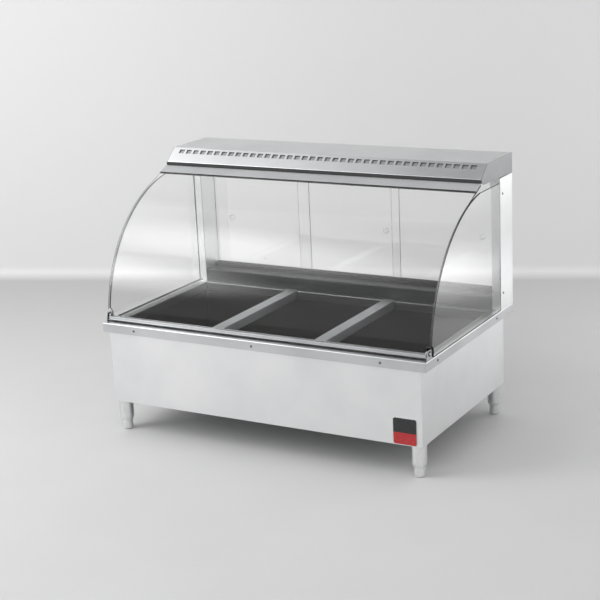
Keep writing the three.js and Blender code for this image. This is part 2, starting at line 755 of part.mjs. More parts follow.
add('base_pan', basePan(), DULL_STEEL);
add('front_panel', frontPanel(), SATIN_STEEL);
add('rear_control_panel', rearControlPanel(), SATIN_STEEL);
add('counter_top', counterTop(), SATIN_STEEL);
add('well_liner', wellLiner(), DULL_STEEL);
add('insulation_jacket', insulationJacket(), WOOL);
[-1, 0, 1].forEach((i) => add(`well_element_${i + 2}`, wellElement(i * BAY_PITCH), DULL_STEEL));
add('adapter_bar_left', adapterBar(-BAY_PITCH / 2), SATIN_STEEL);
add('adapter_bar_right', adapterBar(BAY_PITCH / 2), SATIN_STEEL);

for (const side of [-1, 1]) {
  const hand = side < 0 ? 'left' : 'right';
  add(`${hand}_side_panel`, sidePanel(side), SATIN_STEEL);
  add(`${hand}_post`, post(side), SATIN_STEEL);
  add(`${hand}_side_glass`, sideGlass(side), CLEAR_GLASS);
  add(`${hand}_glass_seal`, glassSeal(side), BLACK_RUBBER);
  add(`${hand}_pivot_bush`, pivotBush(side), BLACK_PLASTIC);
  add(`${hand}_pivot_bracket`, pivotBracket(side), SATIN_STEEL);
  const legX = side * (BODY_SIDE - LEG_RADIUS);
  const rows = [['front', BODY_FRONT + LEG_RADIUS + 2], ['rear', BODY_BACK - LEG_RADIUS - 2]];
  for (const [row, legY] of rows) {
    add(`${row}_${hand}_leg`, leg(legX, legY), SATIN_STEEL);
    add(`${row}_${hand}_foot`, foot(legX, legY), SATIN_STEEL);
  }
}

add('rear_sill', rearSill(), SATIN_STEEL);
add('bottom_door_track', bottomDoorTrack(), BLACK_PLASTIC);
add('top_door_track', topDoorTrack(), ALUMINIUM);
const outerDoorX = BETWEEN_POSTS - DOOR_WIDTH / 2 - 2 * GAP;
add('left_door', door(-outerDoorX, REAR_LANE), CLEAR_GLASS);
add('middle_door', door(0, FRONT_LANE), CLEAR_GLASS);
add('right_door', door(outerDoorX, REAR_LANE), CLEAR_GLASS);
add('left_door_pull', doorPull(-OUTER_PULL_X, REAR_LANE), CLEAR_GLASS);
add('middle_door_pull', doorPull(MIDDLE_PULL_X, FRONT_LANE), CLEAR_GLASS);
add('right_door_pull', doorPull(OUTER_PULL_X, REAR_LANE), CLEAR_GLASS);

add('canopy_shell', canopyShell(), SATIN_STEEL);
add('canopy_reflector', canopyReflector(), BRIGHT_STEEL);
add('canopy_seal', canopySeal(), BLACK_RUBBER);
[-1, 0, 1].forEach((i) => add(`heat_lamp_${i + 2}`, heatLamp(i * BAY_PITCH), QUARTZ));

add('curved_front_glass', curvedFrontGlass(), CLEAR_GLASS);
add('glass_bottom_channel', glassBottomChannel(), ALUMINIUM);
add('glass_top_rail', glassTopRail(), ALUMINIUM);

THERMOSTAT_X.forEach((x, i) => {
  add(`thermostat_${i + 1}`, thermostat(x), BLACK_PLASTIC);
  add(`thermostat_knob_${i + 1}`, controlKnob(x), BLACK_PLASTIC);
});
add('lamp_dimmer_knob', controlKnob(LAMP_KNOB_X), BLACK_PLASTIC);
add('switch_bezel', switchBezel(), BLACK_PLASTIC);
add('power_rocker', powerRocker(), RED_ENAMEL);
add('cable_gland', cableGland(), BLACK_PLASTIC);
add('badge', badge(), RED_ENAMEL);

assembly.position.y = -DEPTH / 2;

export default assembly;
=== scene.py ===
# Hot food display case: a heated three-bay well under a curved glass hood, on four adjustable legs.
# Metres. X runs left to right, Y from the customer's side to the operator's side, Z up.

import bmesh
import bpy
import numpy as np
from mathutils import Matrix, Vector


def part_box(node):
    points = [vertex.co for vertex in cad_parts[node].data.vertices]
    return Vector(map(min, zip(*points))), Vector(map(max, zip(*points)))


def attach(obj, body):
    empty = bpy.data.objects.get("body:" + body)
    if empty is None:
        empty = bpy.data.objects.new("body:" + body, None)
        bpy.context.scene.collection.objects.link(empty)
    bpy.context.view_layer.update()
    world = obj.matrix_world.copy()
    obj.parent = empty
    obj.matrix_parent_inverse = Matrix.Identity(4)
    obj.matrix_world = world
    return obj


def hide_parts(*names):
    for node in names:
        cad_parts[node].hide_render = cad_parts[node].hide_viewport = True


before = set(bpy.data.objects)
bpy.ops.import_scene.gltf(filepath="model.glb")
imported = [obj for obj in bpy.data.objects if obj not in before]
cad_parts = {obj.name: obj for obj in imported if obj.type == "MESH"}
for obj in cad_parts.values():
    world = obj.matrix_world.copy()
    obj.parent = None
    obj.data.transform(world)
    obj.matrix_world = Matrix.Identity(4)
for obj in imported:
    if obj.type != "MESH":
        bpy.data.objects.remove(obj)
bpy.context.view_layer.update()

# ---- Base pan ----
# A folded tray of 1.5 mm stainless sheet that closes the cabinet from below.
# Its 22 mm rim stands up inside the outer panels and is spot welded to them.

MM = 0.001
SHEET = 1.5 * MM
FINE = 0.4 * MM
SHARP = np.radians(40)


def linear(hex_colour):
    """sRGB hex to linear: c / 12.92 up to 0.04045, and ((c + 0.055) / 1.055) ** 2.4 above it."""
    c = np.array([int(hex_colour[i:i + 2], 16) for i in (1, 3, 5)]) / 255
    c = np.where(c > 0.04045, ((c + 0.055) / 1.055) ** 2.4, c / 12.92)
    return (*c.tolist(), 1.0)


def add(tree, kind, settings=None, **links):
    """Adds a shader node. Settings are attributes or input values. Links, by input name or number,
    are sockets, or nodes that give their first output."""
    made = tree.nodes.new("ShaderNode" + kind)
    for key, value in (settings or {}).items():
        if isinstance(key, str) and hasattr(made, key):
            setattr(made, key, value)
        else:
            made.inputs[key].default_value = value
    for key, source in links.items():
        name = int(key[1:]) if key[1:].isdigit() else key.replace("_", " ")
        tree.links.new(getattr(source, "outputs", [source])[0], made.inputs[name])
    return made


def new_material(name):
    """An empty node material and its Object coordinates, which are metres in the part's frame."""
    material = bpy.data.materials.new(name)
    material.use_nodes = True
    material.node_tree.nodes.clear()
    coords = add(material.node_tree, "TexCoord")
    return material, material.node_tree, coords.outputs["Object"]


def steel(name, dark, light, rough, spread, grain, along, wave=0.25):
    """Brushed stainless sheet. Long scratches lie along one axis, and a slow cloud over metres
    shifts tone. Scratches are 0.02 to 0.1 mm wide in life, and drawn grain mm apart so they show."""
    material, tree, place = new_material(name)
    across = 1 / (grain * MM)
    scale = [across, across, across]
    scale["xyz".index(along)] = across / 60
    lines = add(tree, "Mapping", {"Scale": scale}, Vector=place)
    scratch = add(tree, "TexNoise", {"Scale": 1.0, "Detail": 4.0, "Roughness": 0.65}, Vector=lines)
    cloud = add(tree, "TexNoise", {"Scale": 5.0, "Detail": 3.0, "Roughness": 0.55}, Vector=place)
    tone = add(tree, "MapRange", {"From Min": 0.3, "From Max": 0.7}, Value=cloud)
    tint = add(tree, "Mix", {"data_type": "RGBA", 6: linear(dark), 7: linear(light)}, _0=tone)
    worn = add(tree, "MapRange", {"From Min": 0.3, "From Max": 0.7, "To Min": rough - spread,
                                  "To Max": rough + spread}, Value=scratch)
    slow = add(tree, "Bump", {"Strength": wave, "Distance": 1.2 * MM}, Height=cloud)
    relief = add(tree, "Bump", {"Strength": 0.16, "Distance": 0.06 * MM},
                 Height=scratch, Normal=slow)
    shader = add(tree, "BsdfPrincipled", {"Metallic": 1.0}, Base_Color=tint.outputs[2],
                 Roughness=worn, Normal=relief)
    add(tree, "OutputMaterial", Surface=shader)
    return material


# 2B mill finish under the cabinet: a matt, slightly cloudy grey with hardly any grain.
mill_steel = steel("mill_finish_stainless", "#8E9092", "#A0A2A3", 0.42, 0.05, 1.2, "x")


def corners(node):
    """The node's lowest and highest corner as arrays."""
    lo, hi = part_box(node)
    return np.array(lo), np.array(hi)


def filleted(points, radius, steps=4, closed=True):
    """Each corner P of a line becomes the arc of its radius that touches both sides. With h half the
    corner's angle, the arc starts r / tan(h) from P along each side, and runs round its centre by the
    turn pi - 2h: centre + (sin((1 - s) turn) u + sin(s turn) v) / sin(turn)."""
    p = np.array(points, float)
    a = np.roll(p, 1, 0) - p
    b = np.roll(p, -1, 0) - p
    la = np.linalg.norm(a, axis=1, keepdims=True)
    lb = np.linalg.norm(b, axis=1, keepdims=True)
    a, b = a / la, b / lb
    half = np.arccos(np.clip((a * b).sum(1, keepdims=True), -1, 1)) / 2
    wanted = np.broadcast_to(radius, len(p)).reshape(-1, 1) / np.tan(half)
    reach = np.minimum(wanted, 0.49 * np.minimum(la, lb))
    r = reach * np.tan(half)
    middle = (a + b) / np.linalg.norm(a + b, axis=1, keepdims=True)
    centre = p + middle * r / np.sin(half)
    u = (p + a * reach - centre)[:, None]
    v = (p + b * reach - centre)[:, None]
    s = np.linspace(0, 1, steps + 1)[None, :, None]
    turn = (np.pi - 2 * half)[:, None]
    arcs = centre[:, None] + (np.sin((1 - s) * turn) * u + np.sin(s * turn) * v) / np.sin(turn)
    if closed:
        return arcs.reshape(-1, 2)
    return np.vstack([p[:1], arcs[1:-1].reshape(-1, 2), p[-1:]])


def rings(lo, hi, inset, r, z, steps=5):
    """Level rectangles between two corners, each drawn in by an inset, counter-clockwise from above.
    Their corners are turned: at angle a the point is the corner's centre + r (cos a, sin a)."""
    inset, r, z = (v[:, None] for v in np.broadcast_arrays(inset, r, z))
    x0, y0 = np.hsplit(np.asarray(lo)[..., :2] + inset + r, 2)
    x1, y1 = np.hsplit(np.asarray(hi)[..., :2] - inset - r, 2)
    cx, cy = np.hstack([x1, x0, x0, x1])[..., None], np.hstack([y1, y1, y0, y0])[..., None]
    a = np.linspace(0, np.pi / 2, steps + 1) + np.pi / 2 * np.arange(4)[:, None]
    r, z = r[..., None], z[..., None]
    grid = np.stack(np.broadcast_arrays(cx + r * np.cos(a), cy + r * np.sin(a), z), -1)
    return grid.reshape(len(grid), -1, 3)


def lofted(loops, closed=False):
    """Loops joined one to the next: face (i, j) spans loops i, i + 1 and points j, j + 1 round them.
    A closed loft joins its last loop to its first, and an open one has both end loops filled."""
    n, m = loops.shape[:2]
    grid = np.arange(n * m).reshape(n, m)
    rows = np.vstack([grid, grid[:1]]) if closed else grid
    a, b = rows[:-1], rows[1:]
    quads = np.stack([a, np.roll(a, -1, 1), np.roll(b, -1, 1), b], -1).reshape(-1, 4).tolist()
    ends = [] if closed else [grid[0, ::-1].tolist(), grid[-1].tolist()]
    return loops.reshape(-1, 3), quads + ends


def placed(name, data):
    """An object for a mesh, curve, lamp or camera, added to the scene."""
    obj = bpy.data.objects.new(name, data)
    bpy.context.scene.collection.objects.link(obj)
    return obj


def surface(name, shape, material):
    """A smooth-shaded mesh object from (points, faces)."""
    points, faces = shape
    mesh = bpy.data.meshes.new(name)
    mesh.from_pydata(np.asarray(points).tolist(), [], [list(f) for f in faces])
    mesh.polygons.foreach_set("use_smooth", np.ones(len(mesh.polygons), bool))
    mesh.materials.append(material)
    return placed(name, mesh)


def piece(name, shape, material, body, stands_for=None, wall=0.0, bevel=0.0):
    """A piece that rides on a body and stands for a CAD node, with an optional wall thickness behind
    its faces and an optional edge rounding. Normals are weighted by area, so flat faces look flat."""
    obj = surface(name, shape, material)
    if wall:
        solid = obj.modifiers.new("wall", "SOLIDIFY")
        solid.thickness = wall
        solid.offset = -1
        solid.use_even_offset = True
    if bevel:
        edge = obj.modifiers.new("edge", "BEVEL")
        edge.width = bevel
        edge.segments = 2
        edge.limit_method = "ANGLE"
        edge.angle_limit = SHARP
    elif not wall:
        obj.data.set_sharp_from_angle(angle=SHARP)
    normals = obj.modifiers.new("flat faces", "WEIGHTED_NORMAL")
    normals.weight = 90
    normals.keep_sharp = True
    if stands_for:
        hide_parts(stands_for)
    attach(obj, body)
    return obj


def tray(node, corner):
    """A tray with its full floor: an outer skin up from the middle of its underside, over the rim
    and down the inner skin to the middle of its floor. Each skin is a stack of rings."""
    lo, hi = corners(node)
    height = hi[2] - lo[2]
    bend = 2.5 * MM
    line = filleted([[40 * MM, 0], [0, 0], [0, height], [SHEET, height], [SHEET, SHEET],
                     [40 * MM, SHEET]], [0.1 * MM, bend, FINE, FINE, bend - SHEET + FINE, 0.1 * MM],
                    closed=False)
    inset, z = line.T
    return lofted(rings(lo, hi, inset, np.maximum(corner - inset, FINE), lo[2] + z))


piece("base_tray", tray("base_pan", 3 * MM), mill_steel, "cabinet", "base_pan")

# ---- Legs and adjustable feet ----
# Deep-drawn 48 mm stainless tubes with a swaged lower end, welded under the pan at its corners.
# A solid turned foot screws out of each one, so the case can be levelled.

# Polished stainless tube and bar: bright, with faint drawing lines down its length.
turned_steel = steel("turned_stainless", "#E6E7E8", "#F0F0F1", 0.28, 0.05, 0.8, "z", wave=0.05)


def facing(points, along):
    """Points worked out as (u, v, w) are turned so that w lies along the named axis."""
    return np.roll(points, {"z": 0, "x": 1, "y": 2}[along], axis=-1)


def revolved(profile, centre, along="z", steps=56, closed=False):
    """A profile of (radius, height) turned about an axis through centre: point (i, j) is
    centre + (r_i cos a_j, r_i sin a_j, h_i), with height along the named axis."""
    radius, height = np.asarray(profile, float).T
    a = np.linspace(0, 2 * np.pi, steps, endpoint=False)
    ring = np.stack(np.broadcast_arrays(radius[:, None] * np.cos(a), radius[:, None] * np.sin(a),
                                        height[:, None]), -1)
    return lofted(facing(ring, along) + np.asarray(centre), closed)


for row in ("front", "rear"):
    for hand in ("left", "right"):
        lo, hi = corners(f"{row}_{hand}_leg")
        foot_lo, foot_hi = corners(f"{row}_{hand}_foot")
        axis = (lo + hi) / 2 * [1, 1, 0]
        radius = (hi[0] - lo[0]) / 2
        neck = (foot_hi[0] - foot_lo[0]) / 2
        low, high = lo[2], hi[2]
        shell = filleted([[neck - SHEET, low + 3 * MM], [neck - SHEET, low], [neck, low],
                          [radius, low + 13 * MM], [radius, high - 6 * MM],
                          [radius + FINE, high - 5 * MM], [radius + FINE, high], [3 * MM, high]],
                         [FINE, FINE, FINE, 3 * MM, FINE, FINE, FINE, FINE], closed=False)
        piece(f"{row}_{hand}_leg_tube", revolved(shell, axis), turned_steel, "cabinet",
              f"{row}_{hand}_leg")
        turned = filleted([[2 * MM, 0], [14 * MM, 0], [neck, 5 * MM], [neck, 27.5 * MM],
                           [neck - MM, 28 * MM], [neck - MM, 29 * MM], [neck, 29.3 * MM],
                           [neck, 30 * MM], [8 * MM, 30 * MM], [8 * MM, foot_hi[2]],
                           [2 * MM, foot_hi[2]]],
                          [MM, MM, 2 * MM, FINE, FINE, FINE, FINE, FINE, MM, MM, MM], closed=False)
        piece(f"{row}_{hand}_foot_turned", revolved(turned, axis), turned_steel,
              f"foot_{row}_{hand}", f"{row}_{hand}_foot")

# ---- Cabinet panels ----
# Four flat skins of 1.5 mm sheet with a fine satin finish, its grain level all the way round.
# They meet at the corners with a hairline joint and are tucked up under the counter's apron.

satin_front = steel("satin_stainless", "#E4E5E6", "#EEEEEF", 0.44, 0.05, 0.9, "x")
satin_side = steel("satin_stainless_side", "#E4E5E6", "#EEEEEF", 0.44, 0.05, 0.9, "y")


def slab(lo, hi, along, edge=0.6 * MM, corner=0.6 * MM, steps=4):
    """A plate with its faces across the named axis. Towards each face the outline draws in by
    edge (1 - cos t) while the height runs edge (1 - sin t) short of it, t over a quarter turn."""
    shift = {"z": 0, "x": -1, "y": -2}[along]
    lo, hi = np.roll(lo, shift), np.roll(hi, shift)
    t = np.linspace(0, np.pi / 2, steps + 1)
    inset = edge * np.concatenate([1 - np.sin(t), 1 - np.cos(t)])
    level = np.concatenate([lo[2] + edge * (1 - np.cos(t)), hi[2] - edge * (1 - np.sin(t))])
    r = np.maximum(max(corner, edge) - inset, 0.1 * MM)
    points, faces = lofted(rings(lo, hi, inset, r, level))
    return facing(points, along), faces


def rounded_copy(node):
    """The node's own solid with its loose triangles merged and its flat faces joined up."""
    bm = bmesh.new()
    bm.from_mesh(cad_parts[node].data)
    bmesh.ops.remove_doubles(bm, verts=bm.verts, dist=0.01 * MM)
    bmesh.ops.dissolve_limit(bm, angle_limit=np.radians(0.5), verts=bm.verts, edges=bm.edges)
    bm.verts.index_update()
    points = np.array([v.co[:] for v in bm.verts])
    faces = [[v.index for v in f.verts] for f in bm.faces]
    bm.free()
    return points, faces


piece("front_skin", slab(*corners("front_panel"), "y", edge=0.7 * MM), satin_front, "cabinet",
      "front_panel")
for hand in ("left", "right"):
    piece(f"{hand}_side_skin", slab(*corners(f"{hand}_side_panel"), "x", edge=0.7 * MM), satin_side,
          "cabinet", f"{hand}_side_panel")
piece("rear_skin", rounded_copy("rear_control_panel"), satin_front, "cabinet",
      "rear_control_panel", bevel=0.3 * MM)

# ---- Counter top ----
# One pressing of 1.5 mm sheet: a flat rim round the well, a 31 mm apron turned down outside it
# and a 28 mm flange turned down inside it, with every bend at 3 mm radius.

counter_steel = steel("brushed_stainless_counter", "#C4C6C8", "#D2D4D5", 0.33, 0.06, 0.9, "x")

counter_lo, counter_hi = corners("counter_top")
FRONT = counter_lo[1]
COUNTER = counter_hi[2]
WELL = np.array([[-544 * MM, FRONT + 61 * MM], [544 * MM, FRONT + 572.5 * MM]])


def dulled_near(material, opening, dark, near, far):
    """Paints shade onto a steel round a rectangular opening, by the distance max(|x - cx| - a, |y -
    cy| - b)
    from its edge: painted shade up to near, and the plain steel past far."""
    tree = material.node_tree
    shader = next(n for n in tree.nodes if n.type == "BSDF_PRINCIPLED")
    clean = shader.inputs["Base Color"].links[0].from_socket
    coords = next(n for n in tree.nodes if n.type == "TEX_COORD")
    lo, hi = opening
    off = add(tree, "VectorMath", {"operation": "SUBTRACT", 1: (*(lo + hi) / 2, 0)},
              _0=coords.outputs["Object"])
    size = add(tree, "VectorMath", {"operation": "ABSOLUTE"}, _0=off)
    past = add(tree, "VectorMath", {"operation": "SUBTRACT", 1: (*(hi - lo) / 2, 0)}, _0=size)
    parts = add(tree, "SeparateXYZ", Vector=past)
    reach = add(tree, "Math", {"operation": "MAXIMUM"}, _0=parts.outputs[0], _1=parts.outputs[1])
    fade = add(tree, "MapRange", {"interpolation_type": "SMOOTHSTEP", "From Min": near,
                                  "From Max": far}, Value=reach)
    tint = add(tree, "Mix", {"data_type": "RGBA", 6: linear(dark)}, _0=fade, _7=clean)
    tree.links.new(tint.outputs[2], shader.inputs["Base Color"])


# Painted shade: the rim darkens towards the well's mouth, and the flange that turns down into it is
# dark.
dulled_near(counter_steel, WELL, "#757675", 16 * MM, 31 * MM)

BEND = 3.2 * MM
APRON_LOW = counter_lo[2]
FLANGE_LOW = COUNTER - SHEET - 28 * MM
SPAN = 44 * MM

counter_section = filleted(
    [[0, APRON_LOW], [0, COUNTER], [SPAN, COUNTER], [SPAN, FLANGE_LOW], [SPAN - SHEET, FLANGE_LOW],
     [SPAN - SHEET, COUNTER - SHEET], [SHEET, COUNTER - SHEET], [SHEET, APRON_LOW]],
    [0.7 * MM, BEND, BEND, 0.7 * MM, 0.7 * MM, BEND - SHEET, BEND - SHEET, 0.7 * MM])


def pressed(outer, inner, section, span, corner):
    """A sheet pressing between two rectangles, each a pair of corners. A closed section of (inset,
    height) points becomes one ring per point: up to half of span the inset counts in from the outer
    rectangle, and past it back from the inner one, and the corner radius shrinks by that inset."""
    inset, z = section.T
    near = inset[:, None] < span / 2
    lo, hi = (np.where(near, a[:2], b) for a, b in zip(outer, inner))
    inset = np.where(near[:, 0], inset, inset - span)
    return lofted(rings(lo, hi, inset, np.maximum(corner - inset, FINE), z), closed=True)


piece("counter_pressing", pressed((counter_lo, counter_hi), WELL, counter_section, SPAN, 3 * MM),
      counter_steel, "cabinet", "counter_top")

# ---- Well liner, insulation and heating elements ----
# The liner is a deep welded trough of stainless sheet, painted near black as the shade inside the
# well, with a faint brown heat tint.
# Rock wool boards wrap it, and three tubular elements are clamped to its underside.

# Liner steel with painted shade: much darker than stainless, half matt, with faint straw-coloured heat
# clouds.
liner_painted_shade_steel = steel("liner_painted_shade_stainless", "#303130", "#3C3B39", 0.46, 0.04, 2.4, "x", wave=0.2)


def liner_shape(wall):
    """The trough as two skins: the outer one from the middle of its underside out, up and over the
    flat rim, and the inner one down its wall and in to the middle of its floor."""
    lo, hi = corners("well_liner")
    floor, top = lo[2], hi[2]
    far = 12 * wall
    line = filleted([[far, floor], [wall, floor], [wall, top - SHEET], [0, top - SHEET], [0, top],
                     [wall + SHEET, top], [wall + SHEET, floor + SHEET], [far, floor + SHEET]],
                    [MM, 7 * MM, MM, FINE, FINE, MM, 6 * MM, MM], closed=False)
    inset, z = line.T
    r = np.maximum(22 * MM - inset, 8 * MM)
    return lofted(rings(lo, hi, inset, r, z, steps=8))


piece("liner_trough", liner_shape(10 * MM), liner_painted_shade_steel, "cabinet", "well_liner")


def dress(material, *nodes):
    """Gives a CAD node that is kept as it is its real finish."""
    for name in nodes:
        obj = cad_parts[name]
        if not obj.material_slots:
            obj.data.materials.append(material)
        for held in obj.material_slots:
            held.link = "OBJECT"
            held.material = material


def rough_stuff(name, dark, light, rough, size, relief, depth, **more):
    """A non-metal with a fine random texture of the given size in mm and two tones."""
    material, tree, place = new_material(name)
    noise = add(tree, "TexNoise", {"Scale": 1 / (size * MM), "Detail": 4.0,
                                   "Roughness": 0.6}, Vector=place)
    tone = add(tree, "MapRange", {"From Min": 0.3, "From Max": 0.7}, Value=noise)
    tint = add(tree, "Mix", {"data_type": "RGBA", 6: linear(dark), 7: linear(light)}, _0=tone)
    matt = add(tree, "MapRange", {"To Min": rough - 0.06, "To Max": rough + 0.06}, Value=noise)
    bump = add(tree, "Bump", {"Strength": relief, "Distance": depth * MM}, Height=noise)
    shader = add(tree, "BsdfPrincipled", dict(more), Base_Color=tint.outputs[2],
                 Roughness=matt, Normal=bump)
    add(tree, "OutputMaterial", Surface=shader)
    return material


# Rock wool board: olive-yellow fibre with a felted surface, no shine at all.
mineral_wool = rough_stuff("mineral_wool_board", "#A79C68", "#CFC592", 0.93, 6, 0.7, 2.0)
dress(mineral_wool, "insulation_jacket")

# Element sheath: nickel alloy tube oxidised to a matt green-grey.
element_sheath = steel("oxidised_element_sheath", "#4B4C46", "#66655C", 0.55, 0.05, 2.0, "y")
dress(element_sheath, "well_element_1", "well_element_2", "well_element_3")

# ---- Adapter bars ----
# Inverted channels folded from 1.5 mm sheet that bridge the well between the bays.
# Their tops run 8 mm past the opening at each end and rest on the counter, held by weight alone.

bar_steel = steel("brushed_stainless_bar", "#B9BBBD", "#C8CACB", 0.5, 0.05, 0.9, "y")


def sheet(path, stations, keep=None, along="x"):
    """An open line in the plane across an axis, set at each station along it. Cell (i, j) spans
    points i, i + 1 and stations j, j + 1, and is left out where keep is False."""
    n, m = len(path), len(stations)
    grid = np.arange(n * m).reshape(n, m)
    points = np.column_stack([np.repeat(path, m, 0), np.tile(stations, n)])
    cells = np.stack([grid[:-1, :-1], grid[:-1, 1:], grid[1:, 1:], grid[1:, :-1]], -1)
    cells = cells.reshape(-1, 4) if keep is None else cells[keep]
    used, where = np.unique(cells, return_inverse=True)
    return facing(points[used], along), where.reshape(-1, 4).tolist()


for hand in ("left", "right"):
    lo, hi = corners(f"adapter_bar_{hand}")
    path = filleted([[lo[2], hi[0]], [hi[2], hi[0]], [hi[2], lo[0]], [lo[2], lo[0]]], 2.6 * MM,
                    closed=False)
    keep = np.ones((len(path) - 1, 3), bool)
    keep[0, [0, 2]] = False
    keep[-1, [0, 2]] = False
    ends = [lo[1], lo[1] + 9 * MM, hi[1] - 9 * MM, hi[1]]
    piece(f"adapter_channel_{hand}", sheet(path, ends, keep, "y"), bar_steel, f"bar_{hand}",
          f"adapter_bar_{hand}", wall=SHEET, bevel=0.3 * MM)

# ---- Rear posts and sill ----
# Rectangular posts folded from sheet carry the canopy, screwed down through the counter.
# Between them an inverted channel lifts the door track clear of spills.

post_steel = steel("satin_stainless_post", "#E2E3E4", "#ECEDED", 0.36, 0.05, 0.9, "z")
# The sill's steel is painted near black: a painted reflection of the dark well on its top and riser.
sill_painted_dark_steel = steel("sill_painted_reflection", "#3A3B3C", "#454647", 0.4, 0.04, 0.9, "x", wave=0.05)

for hand in ("left", "right"):
    lo, hi = corners(f"{hand}_post")
    skin = filleted([[SHEET, hi[2]], [SHEET, lo[2]], [0, lo[2]], [0, hi[2]]], FINE)
    inset, z = skin.T
    tube = rings(lo, hi, inset, 2.6 * MM - inset, z)
    piece(f"{hand}_post_tube", lofted(tube, closed=True), post_steel, "cabinet",
          f"{hand}_post")

lo, hi = corners("rear_sill")
sill_path = filleted([[lo[1], lo[2]], [lo[1], hi[2]], [hi[1], hi[2]], [hi[1], lo[2]]],
                     3.2 * MM, closed=False)
piece("sill_channel", sheet(sill_path, [lo[0], hi[0]]), sill_painted_dark_steel, "cabinet",
      "rear_sill", wall=SHEET, bevel=0.3 * MM)

# ---- Door tracks ----
# The lower track is a black plastic extrusion with two grooves, and the upper one is its deeper
# partner in anodised aluminium, so that a door lifts up into it and drops out for cleaning.

# Extruded black polyamide: low sheen, with faint draw lines along its length.
track_plastic = rough_stuff("extruded_black_plastic", "#0C0C0D", "#141415", 0.75, 1.5, 0.08, 0.1,
                            **{"Specular IOR Level": 0.1})
# Clear anodised aluminium: an even pale grey, softer in reflection than steel.
anodised = steel("clear_anodised_aluminium", "#B9BBBD", "#C6C8CA", 0.34, 0.03, 0.7, "x", wave=0.03)


def carried(outline, start, end, along="x"):
    """A closed outline in the plane across an axis, carried along it from start to end."""
    u, v = np.asarray(outline).T
    if (u * np.roll(v, -1) - v * np.roll(u, -1)).sum() < 0:
        u, v = u[::-1], v[::-1]
    loops = np.stack([np.column_stack([u, v, np.full(len(u), w)]) for w in (start, end)])
    points, faces = lofted(loops)
    return facing(points, along), faces


HALF_GROOVE = 3.5 * MM
WEB = 2 * MM


def track_outline(node, opens):
    """A bar with two grooves and a web behind them: opens is 1 where they face up and -1 down."""
    lo, hi = corners(node)
    mouth, back = (hi[2], lo[2]) if opens > 0 else (lo[2], hi[2])
    root = back + opens * WEB
    line = [[lo[1], back], [lo[1], mouth]]
    for door in ("middle_door", "right_door"):
        lane = sum(corners(door))[1] / 2
        line += [[lane - HALF_GROOVE, mouth], [lane - HALF_GROOVE, root],
                 [lane + HALF_GROOVE, root], [lane + HALF_GROOVE, mouth]]
    return filleted(line + [[hi[1], mouth], [hi[1], back]], FINE, steps=3), lo[0], hi[0]


piece("lower_track", carried(*track_outline("bottom_door_track", 1)), track_plastic,
      "cabinet", "bottom_door_track")
piece("upper_track", carried(*track_outline("top_door_track", -1)), anodised,
      "cabinet", "top_door_track")

# ---- Sliding doors ----
# Three panes of 5 mm toughened glass with ground edges, the middle one in the inner lane.
# Each has a round clear finger pull bonded to its outer face, and two carry a small bumper dot.


def glass(name, tint, rough, ior=1.52):
    """Toughened float glass. Light from the lamps passes straight through to what is behind it,
    and a faint film of cleaning marks a few cm across varies the gloss."""
    material, tree, place = new_material(name)
    film = add(tree, "TexNoise", {"Scale": 9.0, "Detail": 3.0}, Vector=place)
    gloss = add(tree, "MapRange", {"From Min": 0.35, "From Max": 0.75, "To Min": 0.0,
                                   "To Max": rough}, Value=film)
    clear = add(tree, "BsdfPrincipled",
                {"Base Color": linear(tint), "Transmission Weight": 1.0, "IOR": ior},
                Roughness=gloss)
    open_air = add(tree, "BsdfTransparent", {"Color": linear("#F4F7F6")})
    path = add(tree, "LightPath")
    both = add(tree, "MixShader", _0=path.outputs["Is Shadow Ray"], _1=clear, _2=open_air)
    add(tree, "OutputMaterial", Surface=both)
    return material


float_glass = glass("toughened_float_glass", "#FDFEFD", 0.02)
door_glass = glass("toughened_door_glass", "#FDFDFD", 0.02)
# Moulded acrylic finger pulls: water clear, with a slightly soft polish.
clear_acrylic = glass("clear_acrylic", "#F6F8F8", 0.06)
# Soft clear vinyl dots, slightly milky.
clear_vinyl = rough_stuff("clear_vinyl", "#C9CCCC", "#DADCDC", 0.25, 2, 0.05, 0.05,
                          **{"Transmission Weight": 0.4, "IOR": 1.49})


def pull_shape(centre, r, cup, thick):
    """A raised ring round a shallow cup, closed at the back and at the cup's floor."""
    floor = 1.3 * MM
    profile = filleted([[0.5 * MM, 0], [r, 0], [r, thick], [cup, thick], [cup - 1.5 * MM, floor],
                        [0.5 * MM, floor]], [0.2 * MM, FINE, 0.9 * MM, 0.6 * MM, 0.5 * MM, 0.2 * MM],
                       closed=False)
    return revolved(profile, centre, "y", 40)


for hand in ("left", "middle", "right"):
    body = f"door_{hand}"
    pane = slab(*corners(f"{hand}_door"), "y", edge=0.9 * MM, corner=2 * MM, steps=3)
    piece(f"{hand}_door_pane", pane, door_glass, body, f"{hand}_door")
    lo, hi = corners(f"{hand}_door_pull")
    centre = [(lo[0] + hi[0]) / 2, lo[1], (lo[2] + hi[2]) / 2]
    piece(f"{hand}_finger_pull", pull_shape(centre, (hi[0] - lo[0]) / 2, 8.5 * MM, hi[1] - lo[1]),
          clear_acrylic, body, f"{hand}_door_pull")

dot = filleted([[0.3, 0], [3.2, 0], [2.6, 1.2], [0.3, 1.6]], [0.05, 0.2, 0.5, 0.05],
               closed=False) * MM
for hand, x, z in (("left", -352 * MM, 454 * MM), ("middle", 19 * MM, 743 * MM)):
    face = corners(f"{hand}_door")[1][1]
    piece(f"{hand}_bumper_dot", revolved(dot, [x, face, z], "y", 24), clear_vinyl, f"door_{hand}")

# ---- Canopy ----
# A folded hood of 1.5 mm sheet: hemmed lip, louvred slope, flat top and a turned-down back.
# Flat end plates are welded in and dressed smooth, and a row of 39 slots lets warm air out.

canopy_steel = steel("satin_stainless_canopy", "#D0D2D3", "#DADBDC", 0.34, 0.05, 0.9, "x")
# The end plates have the canopy's steel painted much darker: painted shade on the ends.
canopy_end_shaded_steel = steel("canopy_end_painted_shade", "#86888A", "#929496", 0.38, 0.05, 0.9, "y")

